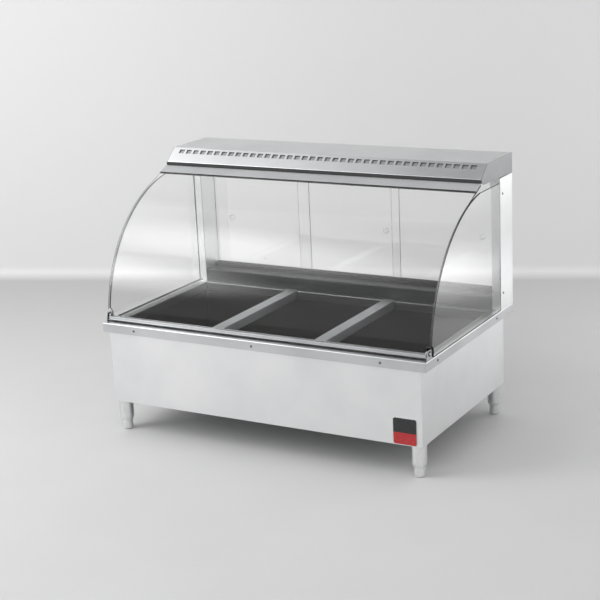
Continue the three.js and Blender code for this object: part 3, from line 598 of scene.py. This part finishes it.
canopy_lo, canopy_hi = corners("canopy_shell")
LIP = np.array([canopy_lo[1], canopy_hi[2] - 44.5 * MM])
EDGE = np.array([canopy_lo[1] + 53 * MM, canopy_hi[2]])
DOWNHILL = (LIP - EDGE) / np.linalg.norm(LIP - EDGE)
BACK = canopy_hi[1]
CANOPY_LOW = canopy_lo[2]
SLOTS = 39
SLOT_PITCH = 28.8 * MM
SLOT_WIDTH = 20 * MM
# Distances down the slope from its top edge to the two sides of the row of slots.
SLOT_LEVELS = np.array([26.5, 9.5]) * MM


def canopy_skin():
    """The folded line from the hem round to the back, carried from end plate to end plate, with the
    slots' cells left out of the slope."""
    hem = [LIP[0] + 18 * MM, LIP[1]]
    bends = filleted([hem, LIP, EDGE, [BACK, EDGE[1]], [BACK, CANOPY_LOW]],
                     [0, 1.6 * MM, 3.2 * MM, 3.2 * MM, 0], closed=False)
    levels = EDGE + DOWNHILL * SLOT_LEVELS[:, None]
    path = np.vstack([bends[:6], levels, bends[6:]])
    middles = (np.arange(SLOTS) - (SLOTS - 1) / 2) * SLOT_PITCH
    edges = np.column_stack([middles - SLOT_WIDTH / 2, middles + SLOT_WIDTH / 2]).ravel()
    stations = np.concatenate([[canopy_lo[0] + SHEET], edges, [canopy_hi[0] - SHEET]])
    keep = np.ones((len(path) - 1, len(stations) - 1), bool)
    keep[6, 1::2] = False
    return sheet(path, stations, keep)


piece("canopy_skin", canopy_skin(), canopy_steel, "cabinet", "canopy_shell",
      wall=SHEET, bevel=0.25 * MM)

# A baffle strip is spot welded 4 mm behind the slots, so that nothing can be dropped through them.
# It is bare, matt sheet in shade, and reads as a mid grey through the slots.
baffle_steel = steel("bare_baffle_stainless", "#9C9EA0", "#A8AAAB", 0.5, 0.04, 1.2, "x")
inward = np.array([-DOWNHILL[1], DOWNHILL[0]])
baffle = EDGE + (DOWNHILL * [[34], [4]] + inward * 4) * MM
piece("vent_baffle", sheet(baffle, [canopy_lo[0] + 2 * MM, canopy_hi[0] - 2 * MM]), baffle_steel,
      "cabinet", wall=MM)

end_line = filleted([LIP, EDGE, [BACK, EDGE[1]], [BACK, CANOPY_LOW],
                     [LIP[0] + 23 * MM, CANOPY_LOW + 5 * MM], [LIP[0] + 7 * MM, CANOPY_LOW + 12 * MM]],
                    np.array([0.8, 2, 2, 2, 6, 3]) * MM)
for hand, x0 in (("left", canopy_lo[0]), ("right", canopy_hi[0] - SHEET)):
    piece(f"canopy_end_{hand}", carried(end_line, x0, x0 + SHEET), canopy_end_shaded_steel, "cabinet",
          "canopy_shell", bevel=0.4 * MM)

# ---- Canopy underside: reflector, seal and heat lamps ----
# A mirror-finish tray closes the canopy, with a trough for three 300 mm quartz heat lamps.
# Each lamp is a clear quartz tube round a coiled tungsten filament, between ceramic end blocks.

mirror_steel = steel("bright_annealed_stainless", "#CFD1D2", "#DADBDC", 0.12, 0.03, 1.5, "x", wave=0.1)
# EPDM rubber: near black, soft sheen, faint extrusion texture.
epdm = rough_stuff("black_epdm_rubber", "#2E2E2E", "#3A3A3A", 0.62, 1.2, 0.2, 0.1)
# Steatite lamp blocks: unglazed white ceramic, gritty and faintly stained by heat.
steatite = rough_stuff("steatite_ceramic", "#D8D2C4", "#EAE6DC", 0.7, 1.5, 0.25, 0.15)
# Tungsten wire, drawn and dark.
tungsten = steel("tungsten_wire", "#6B6864", "#7C7974", 0.35, 0.05, 0.5, "x")
quartz = glass("fused_quartz_tube", "#FBFAF6", 0.02)

lo, hi = corners("canopy_reflector")
TRAY = 826 * MM
TROUGH = hi[2]


def y_at(mm_from_front):
    """A depth in mm behind the counter's front edge as a place along Y."""
    return FRONT + mm_from_front * MM


reflector_path = filleted([[hi[1], lo[2]], [y_at(608), lo[2]], [y_at(595), TROUGH - SHEET],
                           [y_at(487), TROUGH - SHEET], [y_at(475), TRAY], [lo[1], TRAY]],
                          2.5 * MM, closed=False)
piece("reflector_tray", sheet(reflector_path, [lo[0], hi[0]]), mirror_steel, "cabinet",
      "canopy_reflector", wall=SHEET)

lo, hi = corners("canopy_seal")
seal_line = filleted([[lo[1], hi[2]], [lo[1], lo[2] + 2 * MM], [(lo[1] + hi[1]) / 2, lo[2]],
                      [hi[1], lo[2] + 2 * MM], [hi[1], hi[2]]], 1.2 * MM)
piece("canopy_lip_seal", carried(seal_line, lo[0], hi[0]), epdm, "cabinet",
      "canopy_seal", bevel=0.4 * MM)


def joined(*shapes):
    """Several shapes as one: each one's faces count on from the points before it."""
    points, faces, start = [], [], 0
    for p, f in shapes:
        points.append(p)
        faces += [[i + start for i in face] for face in f]
        start += len(p)
    return np.vstack(points), faces


def coil(x0, x1, y, z, radius, wire, pitch, sides=6):
    """A wire wound round the X axis: its middle line is (x, y + R cos t, z + R sin t), and each ring
    lies in the plane of the outward direction and its cross product with the line's direction."""
    t = np.arange(0, (x1 - x0) / pitch * 2 * np.pi, 2 * np.pi / 10)
    outward = np.stack([0 * t, np.cos(t), np.sin(t)], -1)
    middle = np.stack([x0 + pitch * t / (2 * np.pi), y + 0 * t, z + 0 * t], -1) + radius * outward
    ahead = np.gradient(middle, axis=0)
    ahead /= np.linalg.norm(ahead, axis=1, keepdims=True)
    aside = np.cross(ahead, outward)
    a = np.linspace(0, 2 * np.pi, sides, endpoint=False)[None, :, None]
    loops = middle[:, None] + wire * (np.cos(a) * outward[:, None] + np.sin(a) * aside[:, None])
    return lofted(loops)


LAMP_AXIS = y_at(541), 840 * MM
for number in (1, 2, 3):
    lo, hi = corners(f"heat_lamp_{number}")
    x0, x1 = lo[0] + 11 * MM, hi[0] - 11 * MM
    y, z = LAMP_AXIS
    tube_line = filleted([[6 * MM, x0], [6 * MM, x1], [4.8 * MM, x1], [4.8 * MM, x0]], 0.2 * MM)
    piece(f"lamp_tube_{number}", revolved(tube_line, [0, y, z], "x", 24, closed=True), quartz,
          "cabinet", f"heat_lamp_{number}")
    piece(f"lamp_filament_{number}", coil(x0 + 8 * MM, x1 - 8 * MM, y, z, 2 * MM, 0.35 * MM,
                                          3.2 * MM), tungsten, "cabinet")
    blocks = [slab([x - 11 * MM, y - 10 * MM, z - 10 * MM], [x + 11 * MM, y + 10 * MM, hi[2]], "z",
                   edge=1.2 * MM, corner=2.5 * MM) for x in (x0, x1)]
    piece(f"lamp_blocks_{number}", joined(*blocks), steatite, "cabinet")

# ---- Side glass, its seals and the pivot brackets ----
# Fixed 6 mm panes, ground to the same curve as the front, stand on a rubber strip at each end.
# Their front corner is cut out round a small bracket whose plastic bush carries the hood's pivot pin.

front_lo, front_hi = corners("curved_front_glass")
PANE = 6 * MM
LEAN = np.radians(8)
CURVE = 454.5 * MM
FOOT = 37 * MM
FOOT_POINT = np.array([front_lo[1], front_lo[2] + PANE * np.sin(LEAN)])
FOOT_TOP = FOOT_POINT + FOOT * np.array([np.sin(LEAN), np.cos(LEAN)])
CENTRE = FOOT_TOP + CURVE * np.array([np.cos(LEAN), -np.sin(LEAN)])
PIVOT = sum(corners("left_pivot_bush"))[1:] / 2


def on_curve(angle, inset=0.0):
    """A point of the hood's arc: the centre + (R - inset)(-cos a, sin a), a being the lean."""
    angle = np.atleast_1d(angle)[:, None]
    return CENTRE + (CURVE - inset) * np.hstack([-np.cos(angle), np.sin(angle)])


def side_outline(node):
    """Up the back, along the top, down the curved front edge and round the pivot's clearance."""
    lo, hi = corners(node)
    inset = 8.5 * MM
    top = np.arcsin((hi[2] - CENTRE[1]) / (CURVE - inset))
    clear = np.radians(np.linspace(62, -33, 14))[:, None]
    bite = PIVOT + 24 * MM * np.hstack([np.cos(clear), np.sin(clear)])
    return np.vstack([[[hi[1], lo[2]], [hi[1], hi[2]]], on_curve(np.linspace(top, LEAN, 44), inset),
                      bite, [[PIVOT[0] + 20 * MM, lo[2]]]])


# Moulded ABS: deep black, with a fine spark texture.
black_abs = rough_stuff("moulded_black_abs", "#131314", "#1B1B1C", 0.38, 0.8, 0.12, 0.08)
# Satin stainless for the small brackets.
bracket_steel = steel("satin_stainless_bracket", "#B0B2B4", "#C4C6C7", 0.34, 0.05, 0.7, "z")

for hand in ("left", "right"):
    lo, hi = corners(f"{hand}_side_glass")
    pane = carried(side_outline(f"{hand}_side_glass"), lo[0], hi[0])
    piece(f"{hand}_end_pane", pane, float_glass, "cabinet", f"{hand}_side_glass",
          bevel=0.7 * MM)
    lo, hi = corners(f"{hand}_glass_seal")
    base = slab(lo, [hi[0], hi[1], lo[2] + 2.4 * MM], "z", edge=0.5 * MM)
    riser = slab([lo[0], hi[1] - 2.4 * MM, lo[2] + 2.4 * MM], hi, "y", edge=0.5 * MM)
    piece(f"{hand}_glazing_strip", joined(base, riser), epdm, "cabinet",
          f"{hand}_glass_seal")
    lo, hi = corners(f"{hand}_pivot_bush")
    sleeve = filleted([[8 * MM, lo[0]], [8 * MM, hi[0]], [4.4 * MM, hi[0]], [4.4 * MM, lo[0]]],
                      0.5 * MM)
    piece(f"{hand}_bush_sleeve", revolved(sleeve, [0, *PIVOT], "x", 40, closed=True), black_abs,
          "cabinet", f"{hand}_pivot_bush")
    piece(f"{hand}_bracket_plate", rounded_copy(f"{hand}_pivot_bracket"), bracket_steel, "cabinet",
          f"{hand}_pivot_bracket", bevel=0.4 * MM)

# ---- Curved front glass ----
# One pane of 6 mm glass bent to a 454 mm radius, with flat foot and tail, its edges ground.
# Its lower corners are notched round the pivots, and the whole hood tips forward for cleaning.

# Bent toughened glass. Its index is set below the usual 1.52, so the room's image in it stays faint.
hood_glass = glass("bent_toughened_glass", "#FEFEFE", 0.008, ior=1.38)

TAIL = 129 * MM
TAIL_LEAN = np.radians(67)


def on_tail(along, out):
    """A point of the straight tail, along it from the arc's end and out from the outer face."""
    ahead = np.array([np.sin(TAIL_LEAN), np.cos(TAIL_LEAN)])
    return on_curve(TAIL_LEAN, -out)[0] + along * ahead


def hood_shape():
    """The foot, arc and tail as one line carried across, without the two notched corners."""
    notch = 412 * MM
    foot_rows = (notch - FOOT_POINT[1]) / np.cos(LEAN) / FOOT
    foot = FOOT_POINT + (FOOT_TOP - FOOT_POINT) * np.array([[0], [0.4], [foot_rows]])
    arc = on_curve(np.linspace(LEAN, TAIL_LEAN, 61))
    tail = np.array([on_tail(TAIL * t, 0) for t in (0.35, 0.7, 1)])
    path = np.vstack([foot, arc, tail])
    half = front_hi[0]
    notch_side = 573 * MM
    stations = [-half, -notch_side, -300 * MM, 0, 300 * MM, notch_side, half]
    keep = np.ones((len(path) - 1, len(stations) - 1), bool)
    keep[:2, [0, -1]] = False
    return sheet(path, stations, keep)


piece("hood_pane", hood_shape(), hood_glass, "front_glass", "curved_front_glass",
      wall=PANE, bevel=0.8 * MM)

# ---- Hood channel, pivot pins and top rail ----
# An anodised aluminium channel is bonded under the glass, with an ear and a steel pin at each end.
# A folded rail grips the top edge; it is the handle that tips the hood, and a black bead seals it.

EAR = 577.5 * MM
chan_top = PIVOT[1] - 2.5 * MM
chan_low = corners("glass_bottom_channel")[0][2]
channel_line = filleted([[y_at(25), chan_top], [y_at(25), chan_low], [y_at(45), chan_low],
                         [y_at(45), chan_top], [y_at(41.4), chan_top],
                         [y_at(41.4), chan_low + 1.2 * MM], [y_at(32.5), chan_low + 1.2 * MM],
                         [y_at(32.5), chan_top]],
                        [0.8 * MM, 1.5 * MM, 1.5 * MM, 0.8 * MM, FINE, FINE, FINE, FINE])
piece("hood_channel", carried(channel_line, -EAR, EAR), anodised, "front_glass",
      "glass_bottom_channel", bevel=0.3 * MM)
for hand, sign in (("left", -1), ("right", 1)):
    faces_x = sorted([sign * (EAR - 3.5 * MM), sign * EAR])
    ear = slab([faces_x[0], PIVOT[0] - 6 * MM, PIVOT[1] - 6 * MM],
               [faces_x[1], PIVOT[0] + 6 * MM, PIVOT[1] + 6 * MM], "x", edge=0.5 * MM, corner=3 * MM)
    ends = np.sort(sign * np.array([EAR - MM, front_hi[0] - 0.5 * MM]))
    pin = filleted([[0.4 * MM, ends[0]], [4 * MM, ends[0]], [4 * MM, ends[1]], [0.4 * MM, ends[1]]],
                   [0.1 * MM, 0.9 * MM, 0.9 * MM, 0.1 * MM], closed=False)
    piece(f"{hand}_hood_ear", joined(ear, revolved(pin, [0, *PIVOT], "x", 40)), turned_steel,
          "front_glass")

# A black rubber strip under the channel stands for the shade in the gap between the channel and the
# counter: painted shade.
gap_shade_strip = slab([-EAR + 6 * MM, y_at(28), chan_low - 3 * MM], [EAR - 6 * MM, y_at(42), chan_low], "z",
             edge=0.4 * MM)
piece("channel_gap_painted_shade", gap_shade_strip, epdm, "front_glass")

RAIL_OUT = 1.8 * MM
RAIL_TOP = TAIL + 2.3 * MM
RAIL_LOW = 90 * MM
rail_path = filleted([on_tail(RAIL_LOW, RAIL_OUT), on_tail(RAIL_TOP, RAIL_OUT),
                      on_tail(RAIL_TOP, -PANE - RAIL_OUT), on_tail(RAIL_LOW, -PANE - RAIL_OUT)],
                     2 * MM, closed=False)
rail_steel = steel("brushed_aluminium_rail", "#C8CACC", "#D4D6D7", 0.34, 0.04, 0.8, "x")
piece("hood_rail", sheet(rail_path, [front_lo[0], front_hi[0]]), rail_steel, "front_glass",
      "glass_top_rail", wall=SHEET, bevel=0.3 * MM)
for name, near, far in (("outer", 0.1 * MM, 1.9 * MM),
                        ("inner", -PANE - 1.9 * MM, -PANE - 0.1 * MM)):
    bead = filleted([on_tail(RAIL_LOW - 2.6 * MM, near), on_tail(RAIL_LOW - 0.2 * MM, near),
                     on_tail(RAIL_LOW - 0.2 * MM, far), on_tail(RAIL_LOW - 2.6 * MM, far)], FINE)
    piece(f"rail_bead_{name}", carried(bead, front_lo[0], front_hi[0]), epdm, "front_glass")

# ---- Rear controls ----
# Three bay thermostats and a lamp dimmer have skirted knobs with a grip bar, over printed scales.
# Beside them sit a rocker switch, an amber pilot lamp and the closed gland for the supply cord.

# Phenolic thermostat cases and moulded knobs: dark, hard and half matt.
phenolic = rough_stuff("moulded_phenolic", "#1C1A18", "#262320", 0.5, 1.5, 0.15, 0.1)
white_print = rough_stuff("white_screen_print", "#E6E6E3", "#F2F2F0", 0.6, 0.8, 0.05, 0.02)
dark_print = rough_stuff("black_screen_print", "#1B1B1C", "#252526", 0.6, 0.8, 0.05, 0.02)
dress(phenolic, "thermostat_1", "thermostat_2", "thermostat_3")


def digit_shape(text, centre, size):
    """A numeral as a thin raised print that faces +Y, with its right towards -X and its top up."""
    curve = bpy.data.curves.new("numeral", "FONT")
    curve.body = text
    curve.size = size
    curve.extrude = 0.06 * MM
    curve.align_x = "CENTER"
    curve.align_y = "CENTER"
    curve.resolution_u = 4
    holder = placed("numeral", curve)
    bpy.context.view_layer.update()
    depsgraph = bpy.context.evaluated_depsgraph_get()
    mesh = bpy.data.meshes.new_from_object(holder.evaluated_get(depsgraph))
    points = np.empty(len(mesh.vertices) * 3)
    mesh.vertices.foreach_get("co", points)
    faces = [list(p.vertices) for p in mesh.polygons]
    bpy.data.objects.remove(holder)
    bpy.data.curves.remove(curve)
    bpy.data.meshes.remove(mesh)
    x, y, z = points.reshape(-1, 3).T
    return np.column_stack([-x, z, y]) + np.asarray(centre), faces


PANEL_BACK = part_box("rear_control_panel")[1][1]
CONTROLS = 285 * MM
knobs = [(f"thermostat_knob_{n}", f"well_knob_{n}") for n in (1, 2, 3)]
knobs.append(("lamp_dimmer_knob", "lamp_knob"))
for node, body in knobs:
    lo, hi = corners(node)
    r = (hi[0] - lo[0]) / 2
    x, z = (lo[0] + hi[0]) / 2, CONTROLS
    skirt = PANEL_BACK + 1.5 * MM
    top = skirt + 21.5 * MM
    dial = filleted([[1 * MM, lo[1]], [4 * MM, lo[1]], [4 * MM, skirt], [r, skirt],
                     [r, skirt + 2.6 * MM], [19.5 * MM, skirt + 3.4 * MM], [17.6 * MM, top - 1.5 * MM],
                     [15.5 * MM, top], [0.5 * MM, top]],
                    np.array([0.4, 0.4, 0.4, 0.6, 0.8, 1.5, 1.2, 2, 0.1]) * MM, closed=False)
    grip = slab([x - 4 * MM, skirt + 4 * MM, z - 19 * MM], [x + 4 * MM, hi[1], z + 24 * MM], "y",
                edge=1.6 * MM, corner=3.6 * MM)
    piece(f"{node}_moulding", joined(revolved(dial, [x, 0, z], "y", 64), grip), phenolic, body,
          node)
    tip = np.array([x, hi[1], z])
    line = slab(tip + np.array([-0.7, -0.1, 6]) * MM, tip + np.array([0.7, 0.15, 21]) * MM, "y",
                edge=0.08 * MM, corner=0.5 * MM)
    piece(f"{node}_pointer", line, white_print, body)
    marks = []
    for step in range(7):
        turn = np.radians(45 * step)
        way = np.array([-np.sin(turn), 0, np.cos(turn)])
        spot = np.array([x, PANEL_BACK + 0.07 * MM, z])
        marks.append(digit_shape(str(step), spot + 36 * MM * way, 7.5 * MM))
        tick = np.array([[0.15, -0.06], [0.9, -0.06], [0.9, 0.06], [0.15, 0.06]]) * MM
        marks.append(revolved(tick, spot + 29.5 * MM * way, "y", 12))
    piece(f"{node}_scale", joined(*marks), dark_print, "cabinet")

# Translucent red rocker: glossy polycarbonate that glows a little through its thickness.
red_polycarbonate = rough_stuff("red_polycarbonate", "#B01712", "#C5211A", 0.22, 3, 0.03, 0.05,
                                **{"Coat Weight": 0.3})
piece("rocker_bezel", rounded_copy("switch_bezel"), black_abs, "cabinet",
      "switch_bezel", bevel=0.4 * MM)
piece("rocker_paddle", rounded_copy("power_rocker"), red_polycarbonate, "rocker",
      "power_rocker", bevel=0.5 * MM)

# Amber pilot lamp: a moulded lens in a chromed ring.
amber = rough_stuff("amber_polycarbonate", "#C86A10", "#D97F1C", 0.18, 3, 0.03, 0.05,
                    **{"Transmission Weight": 0.3, "Coat Weight": 0.3})
chrome = steel("bright_chromed_brass", "#D6D8DA", "#E2E3E4", 0.1, 0.02, 1.0, "z", wave=0.02)
pilot = [-240 * MM, PANEL_BACK, CONTROLS]
lens = filleted([[0.4, 0.2], [5, 0.2], [5, 1.6], [3.5, 4.6], [0.4, 5.2]],
                [0.1, 0.1, 0.3, 1.6, 0.1], closed=False) * MM
ring = filleted([[5.2, 0.1], [7.5, 0.1], [7, 1.8], [5.2, 2.2]], 0.4) * MM
piece("pilot_lens", revolved(lens, pilot, "y", 32), amber, "cabinet")
piece("pilot_ring", revolved(ring, pilot, "y", 40, closed=True), chrome, "cabinet")

lo, hi = corners("cable_gland")
gland_axis = [(lo[0] + hi[0]) / 2, PANEL_BACK, (lo[2] + hi[2]) / 2]
gland = filleted([[0.5, -20], [8.5, -20], [8.5, 0.3], [14, 0.3], [14, 7], [10, 9], [8, 22], [5, 22],
                  [4.5, 20], [0.5, 20]], [0.2, 0.6, 0.2, 0.6, 1.2, 1.5, 0.9, 0.6, 0.6, 0.2],
                 closed=False) * MM
piece("gland_moulding", revolved(gland, gland_axis, "y", 48), black_abs, "cabinet",
      "cable_gland")

# ---- Badge ----
# A plain enamelled plate, black over red, stuck to the lower right of the front in a thin bright rim.


def two_tone():
    """Stove enamel, black above a level line and red below it, with a slight orange-peel surface."""
    material, tree, place = new_material("two_tone_enamel")
    lo, hi = corners("badge")
    middle = lo[2] + 0.45 * (hi[2] - lo[2])
    parts = add(tree, "SeparateXYZ", Vector=place)
    upper = add(tree, "Math", {"operation": "GREATER_THAN", 1: float(middle)}, _0=parts.outputs[2])
    peel = add(tree, "TexNoise", {"Scale": 500.0, "Detail": 2.0}, Vector=place)
    wear = add(tree, "MapRange", {"To Min": 0.2, "To Max": 0.34}, Value=peel)
    red = add(tree, "Mix", {"data_type": "RGBA", 6: linear("#A3171B"), 7: linear("#B91F22")},
              _0=peel)
    tint = add(tree, "Mix", {"data_type": "RGBA", 7: linear("#161617")},
               _0=upper, _6=red.outputs[2])
    bump = add(tree, "Bump", {"Strength": 0.1, "Distance": 0.05 * MM}, Height=peel)
    shader = add(tree, "BsdfPrincipled", {"Coat Weight": 0.5, "Coat Roughness": 0.08},
                 Base_Color=tint.outputs[2], Roughness=wear, Normal=bump)
    add(tree, "OutputMaterial", Surface=shader)
    return material


lo, hi = corners("badge")
RIM = 1.6 * MM
plate = slab(lo + [RIM, 0, RIM], hi - [RIM, 0, RIM], "y", edge=0.5 * MM, corner=6.4 * MM)
piece("badge_plate", plate, two_tone(), "cabinet", "badge")
rim_section = filleted([[0, 0], [0, 1.7 * MM], [RIM, 1.7 * MM], [RIM, 0]], 0.5 * MM)
inset, depth = rim_section.T
rim = rings(np.roll(lo, 1), np.roll(hi, 1), inset, 8 * MM - inset, hi[1] - depth, steps=8)
rim_points, rim_faces = lofted(rim[::-1], closed=True)
piece("badge_rim", (facing(rim_points, "y"), rim_faces), chrome, "cabinet")

# ---- Screws ----
# M4 stainless pan heads with a cross recess: three along the apron, two on each side of the
# counter and two up the outer face of each post.


def screw_head(centre, along, sign):
    """A low dome on a polar grid: height = h sqrt(1 - (r / R)^2 / 1.15), less a pocket where the
    point lies on either arm of the cross inside half the radius."""
    R, h, arm = 4.2 * MM, 1.7 * MM, 0.7 * MM
    radius = R * np.array([0.94, 1, 0.98, 0.9, 0.78, 0.66, 0.56, 0.5, 0.4, 0.3, 0.2, 0.1, 0.03])
    a = np.linspace(0, 2 * np.pi, 32, endpoint=False)
    u, v = radius[:, None] * np.cos(a), radius[:, None] * np.sin(a)
    height = h * np.sqrt(1 - (radius / R) ** 2 / 1.15)[:, None] + 0 * u
    height[0] = -0.2 * MM
    height[1] = 0.25 * MM
    cross = (np.minimum(abs(u), abs(v)) < arm) & (radius[:, None] < 0.52 * R)
    height = np.where(cross, height - 0.9 * MM, height)
    loops = np.stack([u, v, height], -1)
    if sign < 0:
        loops = np.stack([v, u, -height], -1)
    points, faces = lofted(loops)
    return facing(points, along) + np.asarray(centre), faces


heads = [([x * MM, FRONT, 359.5 * MM], "y", -1) for x in (-462, -12, 438)]
for sign in (-1, 1):
    heads += [([sign * counter_hi[0], y_at(y), 360 * MM], "x", sign) for y in (86, 553)]
    heads += [([sign * counter_hi[0], y_at(610), z * MM], "x", sign) for z in (432, 762)]
# The heads are painted darker than stainless, as painted shade for their recesses.
screw_painted_shade_steel = steel("screw_steel_painted_shade", "#6C6E70", "#7A7C7E", 0.34, 0.04, 0.4, "z", wave=0.05)
piece("pan_head_screws", joined(*(screw_head(*h) for h in heads)), screw_painted_shade_steel, "cabinet")

# ---- Room, studio light and camera ----
# A pale floor meets a pale wall in a soft cove, which is clear from behind so that the case can
# be looked at from any side. Light comes from large soft boxes.

room_paint, tree, place = new_material("pale_matt_paint")
speck = add(tree, "TexNoise", {"Scale": 3.0, "Detail": 6.0}, Vector=place)
near_floor = add(tree, "Mix", {"data_type": "RGBA", 6: linear("#CCCCCC"),
                               7: linear("#D3D3D3")}, _0=speck)
# The floor is painted darker with distance away from the camera: a painted falloff of the light
# towards the wall.
deep = add(tree, "VectorMath", {"operation": "DOT_PRODUCT", 1: (-0.5, 0.866, 0)}, _0=place)
shade = add(tree, "MapRange", {"From Min": 0.2, "From Max": 1.9}, Value=deep.outputs[1])
floor_painted_falloff = add(tree, "Mix", {"data_type": "RGBA", 7: linear("#BEBEBE")},
                 _0=shade, _6=near_floor.outputs[2])
above = add(tree, "SeparateXYZ", Vector=place)
climb = add(tree, "MapRange", {"From Min": 0.0, "From Max": 0.03}, Value=above.outputs[2])
tint = add(tree, "Mix", {"data_type": "RGBA", 7: linear("#E2E2E2")},
           _0=climb, _6=floor_painted_falloff.outputs[2])
shader = add(tree, "BsdfPrincipled", {"Roughness": 0.55, "Specular IOR Level": 0.3},
             Base_Color=tint.outputs[2])
side_seen = add(tree, "NewGeometry")
unseen = add(tree, "BsdfTransparent")
one_way = add(tree, "MixShader", _0=side_seen.outputs["Backfacing"], _1=shader, _2=unseen)
add(tree, "OutputMaterial", Surface=one_way)

YAW, PITCH, ROLL = np.radians([30.05, 15.57, -2.66])
CAMERA = np.array([2.3291, -4.0744, 1.7283])
back = np.array([np.sin(YAW) * np.cos(PITCH), -np.cos(YAW) * np.cos(PITCH), np.sin(PITCH)])
right = np.cross(-back, [0, 0, 1])
right /= np.linalg.norm(right)
up = np.cross(right, -back)

# The wall stands 1.9 m behind the case and is turned until its foot looks level.
WALL_AWAY = 1.89
WALL_TURN = np.radians(10)
ROOM_HALF = 9
WALL_HEIGHT = 6
along_wall = np.array([right[0], right[1], 0])
away = np.array([-back[0], -back[1], 0]) / np.cos(PITCH)
cove = filleted([[-ROOM_HALF, 0], [WALL_AWAY, 0], [WALL_AWAY, WALL_HEIGHT]], 0.06, steps=10,
                closed=False)
room_points, room_faces = sheet(cove, np.linspace(-ROOM_HALF, ROOM_HALF, 7))
spread, run, rise = room_points.T[..., None]
room_points = away * (run - spread * np.tan(WALL_TURN)) + along_wall * spread + [0, 0, 1] * rise
surface("studio_cove", (room_points, room_faces), room_paint)

# A dark scrim with a soft edge hangs overhead, out of view, so that the hood's slope shades off.
FLAG_AT = (-0.33, -0.15, 3)
felt, tree, place = new_material("black_felt_scrim")
reach = add(tree, "VectorMath", {"operation": "DISTANCE", 1: FLAG_AT}, _0=place)
thin = add(tree, "MapRange", {"interpolation_type": "SMOOTHSTEP", "From Min": 0.15,
                              "From Max": 0.75}, Value=reach.outputs["Value"])
cloth = add(tree, "BsdfDiffuse", {"Color": linear("#1F1F1F")})
open_air = add(tree, "BsdfTransparent")
scrim = add(tree, "MixShader", _0=thin, _1=cloth, _2=open_air)
add(tree, "OutputMaterial", Surface=scrim)
flag = FLAG_AT + 0.8 * np.array([[-1, -1, 0], [-1, 1, 0], [1, 1, 0], [1, -1, 0]])
surface("flag", (flag, [(0, 1, 2, 3)]), felt)

world = bpy.data.worlds.new("soft_room")
world.use_nodes = True
background = world.node_tree.nodes["Background"]
background.inputs["Color"].default_value = (1, 1, 1, 1)
background.inputs["Strength"].default_value = 0.84
bpy.context.scene.world = world
bpy.context.scene.view_settings.view_transform = "Standard"


def aimed(x, y, z, place):
    """The matrix of an object at a place whose own axes point along x, y and z."""
    return Matrix(np.vstack([np.column_stack([x, y, z, place]), [0, 0, 0, 1]]).tolist())


def soft_box(name, place, target, width, height, watts):
    """A rectangular area lamp at a place, turned so that its -Z axis looks at its target."""
    lamp = bpy.data.lights.new(name, "AREA")
    lamp.shape = "RECTANGLE"
    lamp.size = width
    lamp.size_y = height
    lamp.energy = watts
    lamp.use_nodes = True
    tree = lamp.node_tree
    tree.nodes.clear()
    spot = add(tree, "NewGeometry")
    reach = add(tree, "VectorMath", {"operation": "DISTANCE", 1: (0.5, 0.5, 0)},
                _0=spot.outputs["Parametric"])
    fade = add(tree, "MapRange", {"interpolation_type": "SMOOTHSTEP", "From Min": 0.5,
                                  "From Max": 0.05, "To Min": 0.0, "To Max": 1.0},
               Value=reach.outputs["Value"])
    glow = add(tree, "Emission", Strength=fade)
    add(tree, "OutputLight", Surface=glow)
    obj = placed(name, lamp)
    z = np.subtract(place, target) / np.linalg.norm(np.subtract(place, target))
    x = np.cross([0, 0, 1], z)
    x /= np.linalg.norm(x)
    obj.matrix_world = aimed(x, np.cross(z, x), z, place)
    obj.visible_camera = False


soft_box("left_box", (-2.9, -2.5, 1.9), (0, 0, 0.4), 3.2, 2.4, 150)
soft_box("front_box", (-1.9, -1.65, 3.0), (0, -0.2, 0.5), 3.4, 2.4, 108)
soft_box("overhead_box", (-2.7, -0.1, 3.0), (-0.9, 0, 0.5), 2.0, 2.4, 16)
soft_box("right_box", (1.8, 2.0, 0.9), (0.5, 0, 0.5), 1.8, 1.8, 32)
soft_box("low_box", (1.35, 1.2, 0.2), (0.59, 0, 0.2), 1.2, 0.36, 2.2)

camera_data = bpy.data.cameras.new("camera")
camera_data.sensor_width = 36
camera_data.lens = 88.24
camera = placed("camera", camera_data)
cam_x = np.cos(ROLL) * right + np.sin(ROLL) * up
cam_y = -np.sin(ROLL) * right + np.cos(ROLL) * up
camera.matrix_world = aimed(cam_x, cam_y, back, CAMERA)
bpy.context.scene.camera = camera
